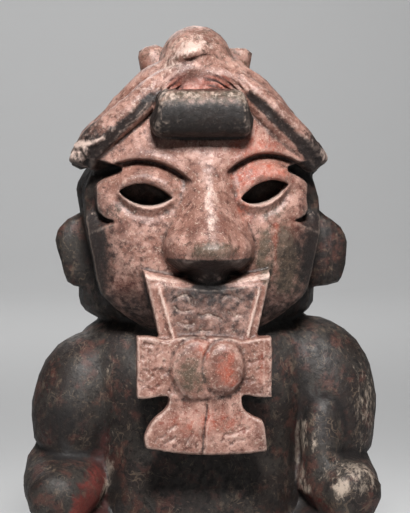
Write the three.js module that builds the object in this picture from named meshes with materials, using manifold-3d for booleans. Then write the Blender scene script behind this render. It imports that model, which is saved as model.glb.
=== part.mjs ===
// A seated, masked figure in fired clay, 383 mm high, modelled and fired as one piece.
// Millimetres, +Z up. The figure faces -Y, and the origin is at the middle of its underside.
// The hidden inside of the hollow clay is filled here, so the one solid stands for walls of about 8 mm.
import * as THREE from "three";
import { ConvexGeometry } from "three/addons/geometries/ConvexGeometry.js";
import { mergeVertices } from "three/addons/utils/BufferGeometryUtils.js";
import Module from "manifold-3d";

const wasm = await Module();
wasm.setup();

// Driving dimensions, in millimetres. A side of -1 is the viewer's left, and a side of 1 the viewer's right.
const HEIGHT = 383;
const BASE = { halfWidth: 130, halfDepth: 104, height: 12, chamfer: 4, power: 2.7 };
const JAW_Z = 180;
const HAIRLINE_Z = 357;
const MASK_CURVE = { drop: 16, power: 2.4 };
const EYE_DEPTH = 26;
const EYES = {
  "-1": { x: 39.4, z: 272, halfLength: 17.2, above: 7.5, below: 7.6, rise: 4 },
  1: { x: 38.4, z: 273.9, halfLength: 16, above: 7, below: 7.8, rise: 9 },
};
const LOBE = { edge: 69, step: 11, bottomZ: 258, topZ: 282 };
const LOWER_NOTCH = { x: 57, z: 254.6, up: 0.54, down: 0.47, depth: 15 };
const UPPER_NOTCH = { x: 50, z: 288.5, up: 0.3, down: 0.55, depth: 14 };
const BROW = { peakX: 41, peakZ: 297.5, innerX: 11, innerDrop: 13, outerDrop: 8, span: 30, overhang: 8 };
const NOSE = { x: 1.5, topZ: 304, bottomZ: 209, nostrilZ: 221.5, nostrilX: 12 };
const ROLL = { x: -3.5, z: 325, halfTop: 29.5, halfBottom: 34, halfHeight: 15.5, back: -50, front: -81 };
const MOUTH_PLATE = {
  topZ: 223.5, dipZ: 217, bottomZ: 178, halfTop: 41.5, halfBottom: 31, grooveZ: 213.5,
  front: -72, thickness: 16, lean: 0.1, border: 6.5,
};
const BOW = { x: -3, topZ: 182, bottomZ: 142, halfLength: 43.5, front: -84, thickness: 13 };
const TAB = { x: -3.5, topZ: 146, bottomZ: 106, halfNeck: 23, halfWidth: 39, front: -84, thickness: 10 };
const SHOULDER = { "-1": { x: 79, z: 144, radius: 32 }, 1: { x: 84, z: 150, radius: 35 } };
const ARM_Y = -3;
const FIST = { x: 99, y: -54, z: 72, radius: 19 };
const KNEE = { x: 97, y: -48, z: 38, radius: 27 };
const EAR = { inner: 70, front: -9, back: 8 };
const KNOB = { x: 29, y: 30, topZ: 371, radius: 10.5 };

const SIDES = [-1, 1];

// Value at t of a smooth curve through evenly numbered values (Catmull-Rom).
function smoothThrough(values, t) {
  const last = values.length - 1;
  const i = Math.min(Math.floor(t), last - 1);
  const f = t - i;
  const at = (k) => values[Math.min(Math.max(k, 0), last)];
  const [a, b, c, d] = [at(i - 1), at(i), at(i + 1), at(i + 2)];
  const [m, n] = [(c - a) / 2, (d - b) / 2];
  return b + f * (m + f * (3 * (c - b) - 2 * m - n + f * (2 * (b - c) + m + n)));
}

// Value at x of a smooth curve through [x, value] knots, which are in rising order of x.
function knotCurve(knots) {
  return (x) => {
    const last = knots.length - 1;
    let i = 0;
    while (i < last - 1 && x > knots[i + 1][0]) i += 1;
    const slope = (k) => {
      const [p, q] = [knots[Math.max(k - 1, 0)], knots[Math.min(k + 1, last)]];
      return (q[1] - p[1]) / (q[0] - p[0]);
    };
    const [x0, v0] = knots[i];
    const [x1, v1] = knots[i + 1];
    const h = x1 - x0;
    const f = THREE.MathUtils.clamp((x - x0) / h, 0, 1);
    const [m, n] = [slope(i) * h, slope(i + 1) * h];
    return v0 + f * (m + f * (3 * (v1 - v0) - 2 * m - n + f * (2 * (v0 - v1) + m + n)));
  };
}

// A soft step from 0 at one value to 1 at another, in either direction
function ease(x, from, to) {
  const share = THREE.MathUtils.clamp((x - from) / (to - from), 0, 1);
  return share * share * (3 - 2 * share);
}

const hump = (x, middle, spread) => Math.exp(-(((x - middle) / spread) ** 2));
const corner = (v, power) => Math.sign(v) * Math.abs(v) ** (2 / power);

// A closed mesh from equal rings of points, with a fan over each end.
function ringMesh(rings) {
  const n = rings[0].length;
  const positions = rings.flat().flatMap((p) => [p.x, p.y, p.z]);
  const index = [];
  for (let r = 0; r + 1 < rings.length; r += 1) {
    for (let k = 0; k < n; k += 1) {
      const [a, b] = [r * n + k, r * n + ((k + 1) % n)];
      index.push(a, b, b + n, a, b + n, a + n);
    }
  }
  for (const [ring, first, flip] of [[rings[0], 0, true], [rings.at(-1), (rings.length - 1) * n, false]]) {
    const middle = ring.reduce((sum, p) => sum.add(p), new THREE.Vector3()).divideScalar(n);
    const hub = positions.length / 3;
    positions.push(middle.x, middle.y, middle.z);
    for (let k = 0; k < n; k += 1) {
      const [a, b] = [first + k, first + ((k + 1) % n)];
      index.push(...(flip ? [b, a, hub] : [a, b, hub]));
    }
  }
  const geometry = new THREE.BufferGeometry();
  geometry.setAttribute("position", new THREE.Float32BufferAttribute(positions, 3));
  geometry.setIndex(index);
  return geometry;
}

// A limb: elliptical rings along a smooth path of stations [x, y, z, halfAcross, halfDeep], with domed ends.
// Across is level and square to the path; deep is square to both.
function limb(stations, { sides = 14, steps = 3, domes = [1, 1], reference = [0, 0, 1] } = {}) {
  const place = (t) => [0, 1, 2, 3, 4].map((c) => smoothThrough(stations.map((s) => s[c]), t));
  const up = new THREE.Vector3(...reference);
  const last = stations.length - 1;
  const ringAt = (t, scale, shift) => {
    const [x, y, z, across, deep] = place(t);
    const before = new THREE.Vector3(...place(Math.max(t - 0.01, 0)));
    const after = new THREE.Vector3(...place(Math.min(t + 0.01, last)));
    const tangent = after.sub(before).normalize();
    const level = new THREE.Vector3().crossVectors(up, tangent).normalize();
    const square = new THREE.Vector3().crossVectors(tangent, level);
    const middle = new THREE.Vector3(x, y, z).addScaledVector(tangent, shift * Math.min(across, deep));
    return Array.from({ length: sides }, (_, k) => {
      const turn = (2 * Math.PI * k) / sides;
      return middle
        .clone()
        .addScaledVector(level, across * scale * Math.cos(turn))
        .addScaledVector(square, deep * scale * Math.sin(turn));
    });
  };
  const rings = [];
  const turns = [75, 45, 20].map(THREE.MathUtils.degToRad);
  const [start, end] = domes;
  if (start) rings.push(...turns.map((a) => ringAt(0, Math.cos(a), -start * Math.sin(a))));
  for (let i = 0; i <= last * steps; i += 1) rings.push(ringAt(i / steps, 1, 0));
  if (end) rings.push(...turns.toReversed().map((a) => ringAt(last, Math.cos(a), end * Math.sin(a))));
  return ringMesh(rings);
}

// A stack of level rings, each a superellipse: levels are [z, halfWidth, front y, back y].
function stack(levels, { sides = 28, steps = 2, power = 2.3 } = {}) {
  const rings = [];
  for (let i = 0; i <= (levels.length - 1) * steps; i += 1) {
    const [z, half, front, back] = [0, 1, 2, 3].map((c) => smoothThrough(levels.map((l) => l[c]), i / steps));
    const [middle, deep] = [(front + back) / 2, (back - front) / 2];
    rings.push(
      Array.from({ length: sides }, (_, k) => {
        const turn = (2 * Math.PI * k) / sides;
        const [x, y] = [corner(Math.cos(turn), power), corner(Math.sin(turn), power)];
        return new THREE.Vector3(half * x, middle + deep * y, z);
      }),
    );
  }
  return ringMesh(rings);
}

// A closed slab over rows of front points, with a flat rear at y = back that fans out from height hubZ.
function reliefMesh(rows, back, hubZ) {
  const [nr, nc] = [rows.length, rows[0].length];
  const front = rows.flat();
  const rear = front.map((p) => new THREE.Vector3(p.x, back, p.z));
  const index = [];
  const quad = (a, b, c, d) => index.push(a, b, c, a, c, d);
  const shift = nr * nc;
  for (let r = 0; r + 1 < nr; r += 1) {
    for (let c = 0; c + 1 < nc; c += 1) {
      const [a, b] = [r * nc + c, r * nc + c + 1];
      quad(a, b, b + nc, a + nc);
    }
  }
  const rim = [];
  for (let c = 0; c < nc - 1; c += 1) rim.push(c);
  for (let r = 0; r < nr - 1; r += 1) rim.push(r * nc + nc - 1);
  for (let c = nc - 1; c > 0; c -= 1) rim.push((nr - 1) * nc + c);
  for (let r = nr - 1; r > 0; r -= 1) rim.push(r * nc);
  const points = [...front];
  const rimRear = new Map(rim.map((k, i) => [k, shift + i]));
  for (const k of rim) points.push(rear[k]);
  rim.forEach((k, i) => {
    const next = rim[(i + 1) % rim.length];
    quad(k, rimRear.get(k), rimRear.get(next), next);
  });
  const hub = points.length;
  points.push(new THREE.Vector3(0, back, hubZ));
  rim.forEach((k, i) => index.push(rimRear.get(rim[(i + 1) % rim.length]), rimRear.get(k), hub));
  const geometry = new THREE.BufferGeometry().setFromPoints(points);
  geometry.setIndex(index);
  return geometry;
}

// A plate: an outline in the x-z plane, with its front face at y = front and its edges bevelled.
function plate(outline, front, thickness, bevel = 1.5) {
  const shape = new THREE.Shape(outline.map(([x, z]) => new THREE.Vector2(x, z)));
  const geometry = new THREE.ExtrudeGeometry(shape, {
    depth: thickness - 2 * bevel,
    bevelThickness: bevel,
    bevelSize: bevel,
    bevelOffset: -bevel,
    bevelSegments: 1,
    curveSegments: 8,
  });
  geometry.rotateX(Math.PI / 2);
  return geometry.translate(0, front + thickness - bevel, 0);
}

// An ellipsoid with the given middle and half sizes.
function ellipsoid([x, y, z], [a, b, c], segments = 14) {
  const geometry = new THREE.SphereGeometry(1, segments, Math.round(segments * 0.6));
  return geometry.rotateX(Math.PI / 2).scale(a, b, c).translate(x, y, z);
}

// The solid inside a closed mesh. A shape mirrored to the other side comes in inside out, and is turned back.
function solidFrom(geometry) {
  const bare = geometry.clone();
  bare.deleteAttribute("normal");
  bare.deleteAttribute("uv");
  const merged = mergeVertices(bare, 1e-3);
  const vertProperties = merged.attributes.position.array;
  const triVerts = new Uint32Array(merged.index.array);
  const solid = new wasm.Manifold(new wasm.Mesh({ numProp: 3, vertProperties, triVerts }));
  if (solid.volume() > 0) return solid;
  return new wasm.Manifold(new wasm.Mesh({ numProp: 3, vertProperties, triVerts: triVerts.toReversed() }));
}

function geometryFrom(solid) {
  const mesh = solid.getMesh();
  const geometry = new THREE.BufferGeometry();
  geometry.setAttribute("position", new THREE.BufferAttribute(new Float32Array(mesh.vertProperties), 3));
  geometry.setIndex(new THREE.BufferAttribute(new Uint32Array(mesh.triVerts), 1));
  geometry.computeVertexNormals();
  return geometry;
}

// The mask's half width, and its depth on the middle line, at each height
const maskHalfWidth = knotCurve([
  [JAW_Z, 34], [186, 44], [195, 56], [206, 67], [218, 71], [232, 73.5], [246, 76.5],
  [262, 78], [274, 77], [283, 74], [295, 69], [312, 57], [332, 40], [HAIRLINE_Z, 22],
]);
const maskMiddle = knotCurve([
  [JAW_Z, 50], [195, 57], [215, 61], [245, 63], [275, 63], [297, 64], [312, 62], [332, 56], [HAIRLINE_Z, 46],
]);

// How far the curved sheet of the mask stands out from y = 0.
function maskSheet(x, z) {
  const across = Math.min(Math.abs(x) / maskHalfWidth(z), 1);
  return maskMiddle(z) - MASK_CURVE.drop * across ** MASK_CURVE.power;
}

// The face below the brows: the sheet, sunk under the brows, with full eyelids and cheeks.
function faceRelief(x, z) {
  const ax = Math.abs(x);
  const sunk = BROW.overhang * ease(z, 262, 284) * (0.35 + 0.65 * ease(ax, 6, 16));
  const eye = EYES[x < 0 ? -1 : 1];
  const lids = 4 * hump(z, eye.z + 1, 10) * hump(ax, eye.x, 21);
  const cheeks = 2.5 * hump(z, 230, 18) * hump(ax, 48, 20);
  return maskSheet(x, z) - sunk + lids + cheeks;
}

// Shares of a half width at which a slab has its columns
const columns = (half) => [...half.map((share) => -share).toReversed(), 0, ...half];

function face() {
  const eyeRows = [250, 257, 263, 269, 275, 281, 287];
  const heights = [JAW_Z, 188, 197, 208, 220, 232, 242, ...eyeRows, 296, 312, 332, HAIRLINE_Z];
  const shares = columns([0.13, 0.26, 0.37, 0.47, 0.56, 0.65, 0.74, 0.83, 0.92, 1]);
  const rows = heights.map((z) =>
    shares.map((share) => {
      const x = share * maskHalfWidth(z);
      return new THREE.Vector3(x, -faceRelief(x, z), z);
    }),
  );
  return reliefMesh(rows, 0, EYES[1].z);
}

// The height of the brow's lower edge
function browLine(x) {
  const ax = Math.max(Math.abs(x), BROW.innerX);
  const drop = ax < BROW.peakX ? BROW.innerDrop : BROW.outerDrop;
  return BROW.peakZ - drop * ((ax - BROW.peakX) / BROW.span) ** 2;
}

// The forehead: a slab over the face, whose lower edge is the sharp line of the brows.
function foreheadSlab() {
  const shares = columns([0.08, 0.16, 0.28, 0.4, 0.52, 0.64, 0.76, 0.88, 1]);
  const rows = [0, 0.12, 0.3, 0.5, 0.75, 1].map((rise) =>
    shares.map((share) => {
      const x = share * maskHalfWidth(THREE.MathUtils.lerp(BROW.peakZ - BROW.outerDrop, HAIRLINE_Z, rise));
      const z = THREE.MathUtils.lerp(browLine(x), HAIRLINE_Z, rise);
      return new THREE.Vector3(x, -maskSheet(x, z) - 0.6, z);
    }),
  );
  return reliefMesh(rows, 0, 335);
}

// The nose: a ridge from the brows, wide wings, and an underside that slants back to the mouth plate.
const noseHalf = knotCurve([
  [NOSE.bottomZ, 7], [214, 10], [219, 15.5], [223, 21], [227, 26], [230, 28.5], [233, 29.5],
  [238, 30], [243, 29], [249, 27], [257, 24], [268, 19], [282, 15.5], [292, 16], [NOSE.topZ, 20],
]);
const noseHeight = knotCurve([
  [NOSE.bottomZ, 6], [213, 9], [217, 12.5], [221, 16.5], [225, 21], [228, 25.5], [230.5, 29.5],
  [233, 31.8], [239, 32.5], [246, 28], [258, 19], [272, 11.5], [282, 6.5], [290, 3.5], [298, 1],
  [NOSE.topZ, -1],
]);

function nose() {
  const heights = [NOSE.bottomZ, 215, 221, 227, 231, 234, 239, 245, 251, 260, 270, 281, 292, NOSE.topZ];
  const shares = columns([0.22, 0.43, 0.63, 0.84, 1]);
  const rows = heights.map((z) =>
    shares.map((share) => {
      const x = NOSE.x + share * noseHalf(z);
      const crease = 0.22 * ease(Math.abs(share), 0.3, 0.62) * ease(z, 252, 243);
      const slope = ease(z, 243, 260);
      const profile = (1 - Math.abs(share) ** (2.6 - 0.8 * slope)) ** (0.8 + 0.8 * slope);
      const height = noseHeight(z) * profile * (1 - crease);
      return new THREE.Vector3(x, -maskSheet(x, z) - height + 2.5 * Math.abs(share) ** 6, z);
    }),
  );
  return reliefMesh(rows, -30, 240);
}

function nostril(side) {
  const middle = [NOSE.x + side * NOSE.nostrilX, -maskMiddle(NOSE.nostrilZ) - 13, NOSE.nostrilZ];
  return ellipsoid(middle, [5.5, 6, 4.5], 10);
}

// A cut that takes away all in front of a flat wedge: it opens from a point towards the side of the mask.
function notchCutter(side, { x, z, up, down, depth }, lowDepth) {
  const outer = maskHalfWidth(z) + 6;
  const reach = outer - x;
  const surface = maskSheet(x, z);
  const edge = maskMiddle(z) - MASK_CURVE.drop;
  const [low, high] = [z - reach * down, z + reach * up];
  const points = [
    [x, -120, z], [outer, -120, low], [outer, -120, high],
    [x, -surface, z], [outer, -edge + lowDepth, low], [outer, -edge + depth, high],
  ];
  return new ConvexGeometry(points.map(([px, py, pz]) => new THREE.Vector3(side * px, py, pz)));
}

// The lower layer of the mask beside the eye lobe
function lobeCutter(side) {
  const back = -maskMiddle(LOBE.topZ) + MASK_CURVE.drop + LOBE.step / 2;
  const size = [30, 120 + back, LOBE.topZ - LOBE.bottomZ];
  const box = new THREE.BoxGeometry(...size);
  return box.translate(side * (LOBE.edge + size[0] / 2), back - size[1] / 2, (LOBE.topZ + LOBE.bottomZ) / 2);
}

// An almond eye, cut through the wall: the outer corner is the higher one.
function eyeCutter(side) {
  const eye = EYES[side];
  const steps = 5;
  const shares = Array.from({ length: 2 * steps }, (_, i) => i / steps - 1);
  const lid = (share, height) => [
    side * (eye.x + eye.halfLength * share),
    eye.z + height * (1 - share * share) + (eye.rise * share) / 2,
  ];
  const outline = [
    ...shares.map((share) => lid(share, eye.above)),
    ...shares.map((share) => lid(-share, -eye.below)),
  ];
  return plate(side > 0 ? outline.toReversed() : outline, -80, 80 - (maskMiddle(eye.z) - EYE_DEPTH), 0.5);
}

// The head behind the mask: a hood of hair with a blunt lower rim over the shoulders
function hood() {
  return stack(
    [
      [184, 58, -18, 46], [188, 72, -26, 57], [195, 79.5, -32, 66], [208, 81, -37, 75], [226, 80, -38, 81],
      [246, 79.5, -38, 84], [262, 81, -38, 84], [278, 79.5, -36, 81], [292, 71, -36, 73], [308, 60, -36, 73],
      [324, 48, -34, 63], [338, 37, -32, 52], [350, 25, -26, 40], [358, 13, -16, 28],
    ],
    { sides: 26, steps: 1, power: 2.5 },
  );
}

// An ear set back behind the mask: a flat rounded flap, lower and nearer to the head at the viewer's left.
function ear(side) {
  const { inner, front, back } = EAR;
  const outer = side < 0
    ? [
      [80, 258], [88, 254.5], [95, 248.5], [97.3, 240], [95, 230], [92, 222], [90.5, 215],
      [86, 209.5], [79, 207.5],
    ]
    : [
      [81, 262], [88, 256], [96, 249.5], [101, 238], [100.4, 222], [98, 212], [93, 208.5],
      [83, 206.5],
    ];
  const closed = [[inner, outer[0][1] - 1], ...outer, [inner, outer.at(-1)[1]]];
  const outline = closed.map(([x, z]) => [side * x, z]);
  return plate(side > 0 ? outline : outline.toReversed(), front, back - front, 3);
}

// The horizontal roll on the forehead: a bar with a round top and a flatter underside, wider below than above
function roll() {
  const sides = 12;
  const middle = (ROLL.front + ROLL.back) / 2;
  const deep = (ROLL.back - ROLL.front) / 2;
  const rings = [-1, -0.94, -0.4, 0.4, 0.94, 1].map((share) => {
    const shrink = Math.abs(share) === 1 ? 0.88 : 1;
    return Array.from({ length: sides }, (_, k) => {
      const turn = (2 * Math.PI * (k + 0.5)) / sides;
      const high = corner(Math.sin(turn), 2.5);
      const half = THREE.MathUtils.lerp(ROLL.halfBottom, ROLL.halfTop, (high + 1) / 2);
      const y = middle - deep * shrink * corner(Math.cos(turn), 2.2);
      return new THREE.Vector3(ROLL.x + share * half, y, ROLL.z + ROLL.halfHeight * shrink * high);
    });
  });
  return ringMesh(rings);
}

// The two folded bands on each side of the forehead, the front one lying over the back one
const bandShape = { sides: 9, steps: 2, reference: [0, 1, 0] };

function frontBand(side) {
  const stations = side < 0
    ? [
      [-14, -40, 350, 8, 8], [-37, -48, 336.5, 9.3, 10.5], [-58, -47, 318, 9.5, 12],
      [-71, -42, 306, 10, 12], [-79, -36, 294, 9.5, 10],
    ]
    : [
      [8, -40, 350, 8, 8], [33, -48, 336, 9.5, 10.5], [54, -47, 315, 10.5, 12],
      [66, -42, 302, 10.5, 12], [74, -36, 293, 9, 10],
    ];
  return limb(stations, { ...bandShape, domes: [0, 0.25] });
}

function backBand(side) {
  const stations = side < 0
    ? [
      [-12, -26, 356, 8, 12], [-38, -26, 340.5, 9.3, 14.5], [-58, -18, 319, 9.5, 15],
      [-71, -12, 307, 9.5, 14], [-79, -8, 295, 8, 12],
    ]
    : [
      [12, -26, 356, 8, 12], [36, -26, 340, 9.5, 14.5], [57, -18, 316, 10, 15],
      [68, -12, 303, 9.5, 14], [73, -8, 291, 8, 12],
    ];
  return limb(stations, { ...bandShape, domes: [0, 1] });
}

// The knot on the crown, with a fold arched over its front, and the two short stubs behind it
function crest() {
  const mound = ellipsoid([-3, -14, HEIGHT - 31], [26, 25, 31], 16);
  const bed = ellipsoid([-3, -33, 345], [30, 22, 14], 14);
  const arch = [
    [-33, -36, 340, 7], [-20, -44, 348.5, 9], [-3, -46, 352, 9.5], [13, -45, 349, 8.5], [27, -38, 339, 7],
  ];
  const stations = arch.map(([x, y, z, radius]) => [x, y, z, radius, radius]);
  return [mound, bed, limb(stations, { sides: 8, steps: 2, reference: [0, 1, 0] })];
}

function knob(side) {
  const { x, y, topZ, radius } = KNOB;
  const [top, dome] = side > 0 ? [topZ - 4, 0.2] : [topZ - 0.6 * radius, 0.6];
  const stations = [[side * x * 0.8, y - 4, 330, radius, radius], [side * x, y, top, radius, radius]];
  return limb(stations, { sides: 12, steps: 1, domes: [0, dome], reference: [0, 1, 0] });
}

// The mouth plate under the nose: its upper edge dips in the middle, and its face has a raised panel.
function mouthPlate() {
  const { topZ, dipZ, bottomZ, halfTop, halfBottom, grooveZ, front, thickness, lean, border } = MOUTH_PLATE;
  const [shoulder, dip] = [0.65 * halfTop, 0.3 * halfTop];
  const outline = [
    [-halfTop, topZ], [-halfBottom, bottomZ], [halfBottom, bottomZ], [halfTop, topZ],
    [shoulder, topZ - 3], [dip, dipZ], [-dip, dipZ], [-shoulder, topZ - 3],
  ];
  const panel = [
    [border - halfTop, grooveZ], [border - halfBottom, bottomZ + 1],
    [halfBottom - border, bottomZ + 1], [halfTop - border, grooveZ],
  ];
  const parts = [plate(outline, 0, thickness, 1.6), plate(panel, -1.3, thickness - 2, 1)];
  return parts.map((geometry) => geometry.translate(0, 0, -topZ).rotateX(lean).translate(0, front, topZ));
}

// The bow below it: two square wings and a knot of two round lobes, the smaller one lying over the other
function bow() {
  const { x, topZ, bottomZ, halfLength, front, thickness } = BOW;
  const knot = halfLength / 2;
  const outline = [
    [-halfLength, topZ], [1 - halfLength, bottomZ + 1], [-knot, bottomZ + 2], [knot, bottomZ + 2],
    [halfLength - 2, bottomZ], [halfLength, topZ - 1], [knot, topZ - 3], [0, topZ - 1], [-knot, topZ - 3],
  ];
  const wings = plate(outline.map(([a, z]) => [a + x, z]), front, thickness, 1.6);
  const under = ellipsoid([-8.5, front + 1.5, 160.5], [16.2, 5.5, 20.3], 14);
  const over = ellipsoid([9.3, front, 161.5], [12.9, 6, 17.2], 14);
  return [wings, under, over];
}

// The tab that hangs from the bow: a short neck, sloped shoulders and a curved lower edge
function tab() {
  const { x, topZ, bottomZ, halfNeck, halfWidth, front, thickness } = TAB;
  const outline = [
    [-halfNeck, topZ], [0.5 - halfNeck, 137], [-halfNeck - 5, 131], [-35, 128.5], [0.5 - halfWidth, 121],
    [-halfWidth, 111], [-30, 108], [0, bottomZ], [30, 107.5], [halfWidth - 1, 108.5], [halfWidth + 0.5, 116],
    [halfWidth - 1.5, 127], [30, 130], [halfNeck + 3, 134], [halfNeck, 138], [halfNeck, topZ],
  ];
  return plate(outline.map(([a, z]) => [a + x, z]), front, thickness, 1.6);
}

// The clay that carries the bow and the tab from the jaw and the throat
function throat() {
  return limb([[0, -20, 172, 40, 26], [0, -50, 167, 34, 22], [-2, -76, 161, 26, 17]], {
    sides: 12,
    steps: 1,
    domes: [0, 0],
  });
}

// The trunk from the seat to the neck
function trunk() {
  return stack(
    [
      [8, 72, -46, 84], [26, 78, -50, 88], [50, 76, -54, 84], [80, 71, -54, 76], [110, 69, -54, 70],
      [140, 76, -52, 68], [162, 82, -44, 66], [178, 76, -36, 60], [190, 56, -26, 50], [204, 46, -20, 44],
    ],
    { sides: 24, steps: 1, power: 2.4 },
  );
}

// An arm: a heavy shoulder, an upper arm down to the crease of the elbow, and a forearm resting on the knee
function arm(side) {
  const { x, z, radius } = SHOULDER[side];
  const upper = limb(
    [
      [side * (x - 34), ARM_Y + 8, z + 10, radius - 9, radius - 7],
      [side * (x - 6), ARM_Y + 6, z + 3, radius - 2, radius],
      [side * (x + 4), ARM_Y + 2, z - 16, radius - 2, radius],
      [side * (x + 6), ARM_Y, 114, radius - 4, radius - 3],
      [side * (x + 5), ARM_Y, 98, radius - 6, radius - 8],
    ],
    { sides: 14, steps: 2, domes: [0, 0.5], reference: [0, 1, 0] },
  );
  const fore = limb(
    [
      [side * 88, 6, 88, 29, 20], [side * 91, -18, 80, 28, 20], [side * 94, -38, 75, 26, 19],
      [side * FIST.x, FIST.y, FIST.z, FIST.radius, FIST.radius],
    ],
    { sides: 12, steps: 2, domes: [0.7, 0.6] },
  );
  return [upper, fore];
}

// The rounded ridge down the inside of one arm
function armRidge() {
  const stations = [
    [80, -25, 127, 13, 14], [80, -31, 106, 14, 15], [82, -34, 84, 15, 15], [84, -36, 70, 13, 13],
  ];
  return limb(stations, { sides: 10, steps: 1, domes: [0.7, 0.3], reference: [0, 1, 0] });
}

// A folded leg: thigh out to the knee, then the shin back across the front with its foot
function leg(side) {
  const { x, y, z, radius } = KNEE;
  const lift = side > 0 ? 0 : 5;
  const thigh = limb(
    [
      [side * 36, 40, 42, 34, 32], [side * 66, 2, 42, 32, 29], [side * (x - 7), y + 12, z, 29, radius],
      [side * (x - 2), y, z, radius, radius],
    ],
    { sides: 12, steps: 2, domes: [0, 0.85] },
  );
  const shin = limb(
    [
      [side * (x - 6), y - 4, 32, 22, 22], [side * 62, -72, 28 + lift, 19, 17],
      [side * 26, -83, 26 + lift, 15, 14], [-side * 6, -85, 24 + lift, 14, 12], [-side * 30, -83, 22, 14, 11],
    ],
    { sides: 12, steps: 1, domes: [0.5, 0.8] },
  );
  return [thigh, shin];
}

// The low base under the folded legs
function base() {
  const { halfWidth, halfDepth, height, chamfer, power } = BASE;
  const sides = 32;
  const ring = (scale, z) =>
    Array.from({ length: sides }, (_, k) => {
      const turn = (2 * Math.PI * k) / sides;
      const [x, y] = [corner(Math.cos(turn), power), corner(Math.sin(turn), power)];
      return new THREE.Vector3(halfWidth * scale * x, halfDepth * scale * y, z);
    });
  return ringMesh([ring(1, 0), ring(1, height - chamfer), ring(0.975, height)]);
}

// The face is cut before the forehead joins it, so that the notches end under the brows.
function mask() {
  const cutters = SIDES.flatMap((side) => [
    notchCutter(side, LOWER_NOTCH, 0),
    notchCutter(side, UPPER_NOTCH, UPPER_NOTCH.depth),
    lobeCutter(side),
  ]);
  return cutters.reduce((clay, cutter) => clay.subtract(solidFrom(cutter)), solidFrom(face()));
}

function figure() {
  const added = [
    base(), trunk(), ...SIDES.flatMap(leg), ...SIDES.flatMap(arm), armRidge(), hood(), foreheadSlab(), nose(),
    throat(), ...SIDES.map(ear), ...SIDES.map(backBand), ...SIDES.map(frontBand), ...crest(),
    ...SIDES.map(knob), roll(), ...mouthPlate(), ...bow(), tab(),
  ];
  const clay = added.reduce((whole, geometry) => whole.add(solidFrom(geometry)), mask());
  const hollows = [...SIDES.map(eyeCutter), ...SIDES.map(nostril)];
  return geometryFrom(hollows.reduce((whole, geometry) => whole.subtract(solidFrom(geometry)), clay));
}

const clayMaterial = new THREE.MeshStandardMaterial({ color: 0x7a5347, roughness: 0.62, metalness: 0 });

const group = new THREE.Group();
const figureMesh = new THREE.Mesh(figure(), clayMaterial);
figureMesh.name = "figure";
group.add(figureMesh);

export default group;
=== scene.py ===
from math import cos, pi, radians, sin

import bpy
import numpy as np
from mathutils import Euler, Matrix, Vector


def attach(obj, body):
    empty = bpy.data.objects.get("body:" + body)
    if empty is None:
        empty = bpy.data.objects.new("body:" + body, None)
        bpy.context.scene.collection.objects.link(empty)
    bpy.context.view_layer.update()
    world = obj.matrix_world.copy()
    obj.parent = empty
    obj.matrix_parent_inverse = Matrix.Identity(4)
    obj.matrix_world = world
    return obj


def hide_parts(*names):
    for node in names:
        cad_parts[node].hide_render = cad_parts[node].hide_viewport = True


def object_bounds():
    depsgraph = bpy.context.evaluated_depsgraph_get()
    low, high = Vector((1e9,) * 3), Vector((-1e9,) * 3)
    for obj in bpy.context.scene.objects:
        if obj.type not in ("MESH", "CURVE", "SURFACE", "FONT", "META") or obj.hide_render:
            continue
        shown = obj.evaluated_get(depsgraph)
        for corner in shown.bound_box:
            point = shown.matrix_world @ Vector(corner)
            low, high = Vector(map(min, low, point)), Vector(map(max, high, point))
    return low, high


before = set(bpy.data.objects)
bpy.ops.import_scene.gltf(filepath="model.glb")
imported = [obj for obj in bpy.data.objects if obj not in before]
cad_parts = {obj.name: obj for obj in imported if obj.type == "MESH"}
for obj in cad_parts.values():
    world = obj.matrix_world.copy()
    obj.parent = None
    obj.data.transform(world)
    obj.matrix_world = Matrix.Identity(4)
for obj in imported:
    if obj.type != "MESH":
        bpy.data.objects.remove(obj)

# %% [markdown]
# # A masked figure in hollow fired clay
#
# The real object was modelled by hand in wet clay, burnished, painted red in places, and fired. Then it lay
# for centuries in the ground. So its forms run softly into each other, its edges are rounded by wear, and its
# colour is a story of fire, soil and roots. The frame holds one faceted solid, `figure`. This lesson makes the
# finished surface that stands for it: the same forms, from the same sizes in millimetres, on fine grids that
# are fused into one skin, then smoothed, scratched, pitted and coloured.

MM = 0.001
cad_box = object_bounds()
print("CAD box, mm:", [round(v / MM, 1) for corner in cad_box for v in corner])

# %% [markdown]
# ## Curves and steps
#
# A hand-modelled form has no straight sizes, only places that a thumb found. Each is a short list of places
# with a smooth curve through them. Blender's own curve objects could carry such profiles, but plain formulas
# on whole arrays are quicker here, and the same formula can be asked for a height at any point later on.


# %% Smooth curves through places, a soft step and a soft bump
def curve_through(stations, count):
    """Evenly numbered stations joined by cubics, each with the slope of the chord between its neighbours."""
    s = np.asarray(stations, float)
    last = len(s) - 1
    t = np.linspace(0, last, count)
    i = np.minimum(t.astype(int), last - 1)
    f = (t - i)[:, None]
    a, b, c, d = (s[np.clip(i + k, 0, last)] for k in (-1, 0, 1, 2))
    m, n = (c - a) / 2, (d - b) / 2
    return b + f * (m + f * (3 * (c - b) - 2 * m - n + f * (2 * (b - c) + m + n)))


def knot_curve(knots):
    """A function of one number: the same cubics through [place, value] knots, held level past both ends."""
    at, value = np.array(knots, float).T
    k = np.arange(len(at))
    low, high = np.maximum(k - 1, 0), np.minimum(k + 1, len(at) - 1)
    slope = (value[high] - value[low]) / (at[high] - at[low])

    def curve(x):
        x = np.clip(x, at[0], at[-1])
        i = np.clip(np.searchsorted(at, x) - 1, 0, len(at) - 2)
        h = at[i + 1] - at[i]
        f = (x - at[i]) / h
        m, n, rise = slope[i] * h, slope[i + 1] * h, value[i + 1] - value[i]
        return value[i] + f * (m + f * (3 * rise - 2 * m - n + f * (m + n - 2 * rise)))

    return curve


def ease(x, start, end):
    """A soft step: 0 at start, 1 at end, with level ends (3 s squared less 2 s cubed)."""
    s = np.clip((x - start) / (end - start), 0, 1)
    return s * s * (3 - 2 * s)


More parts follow.
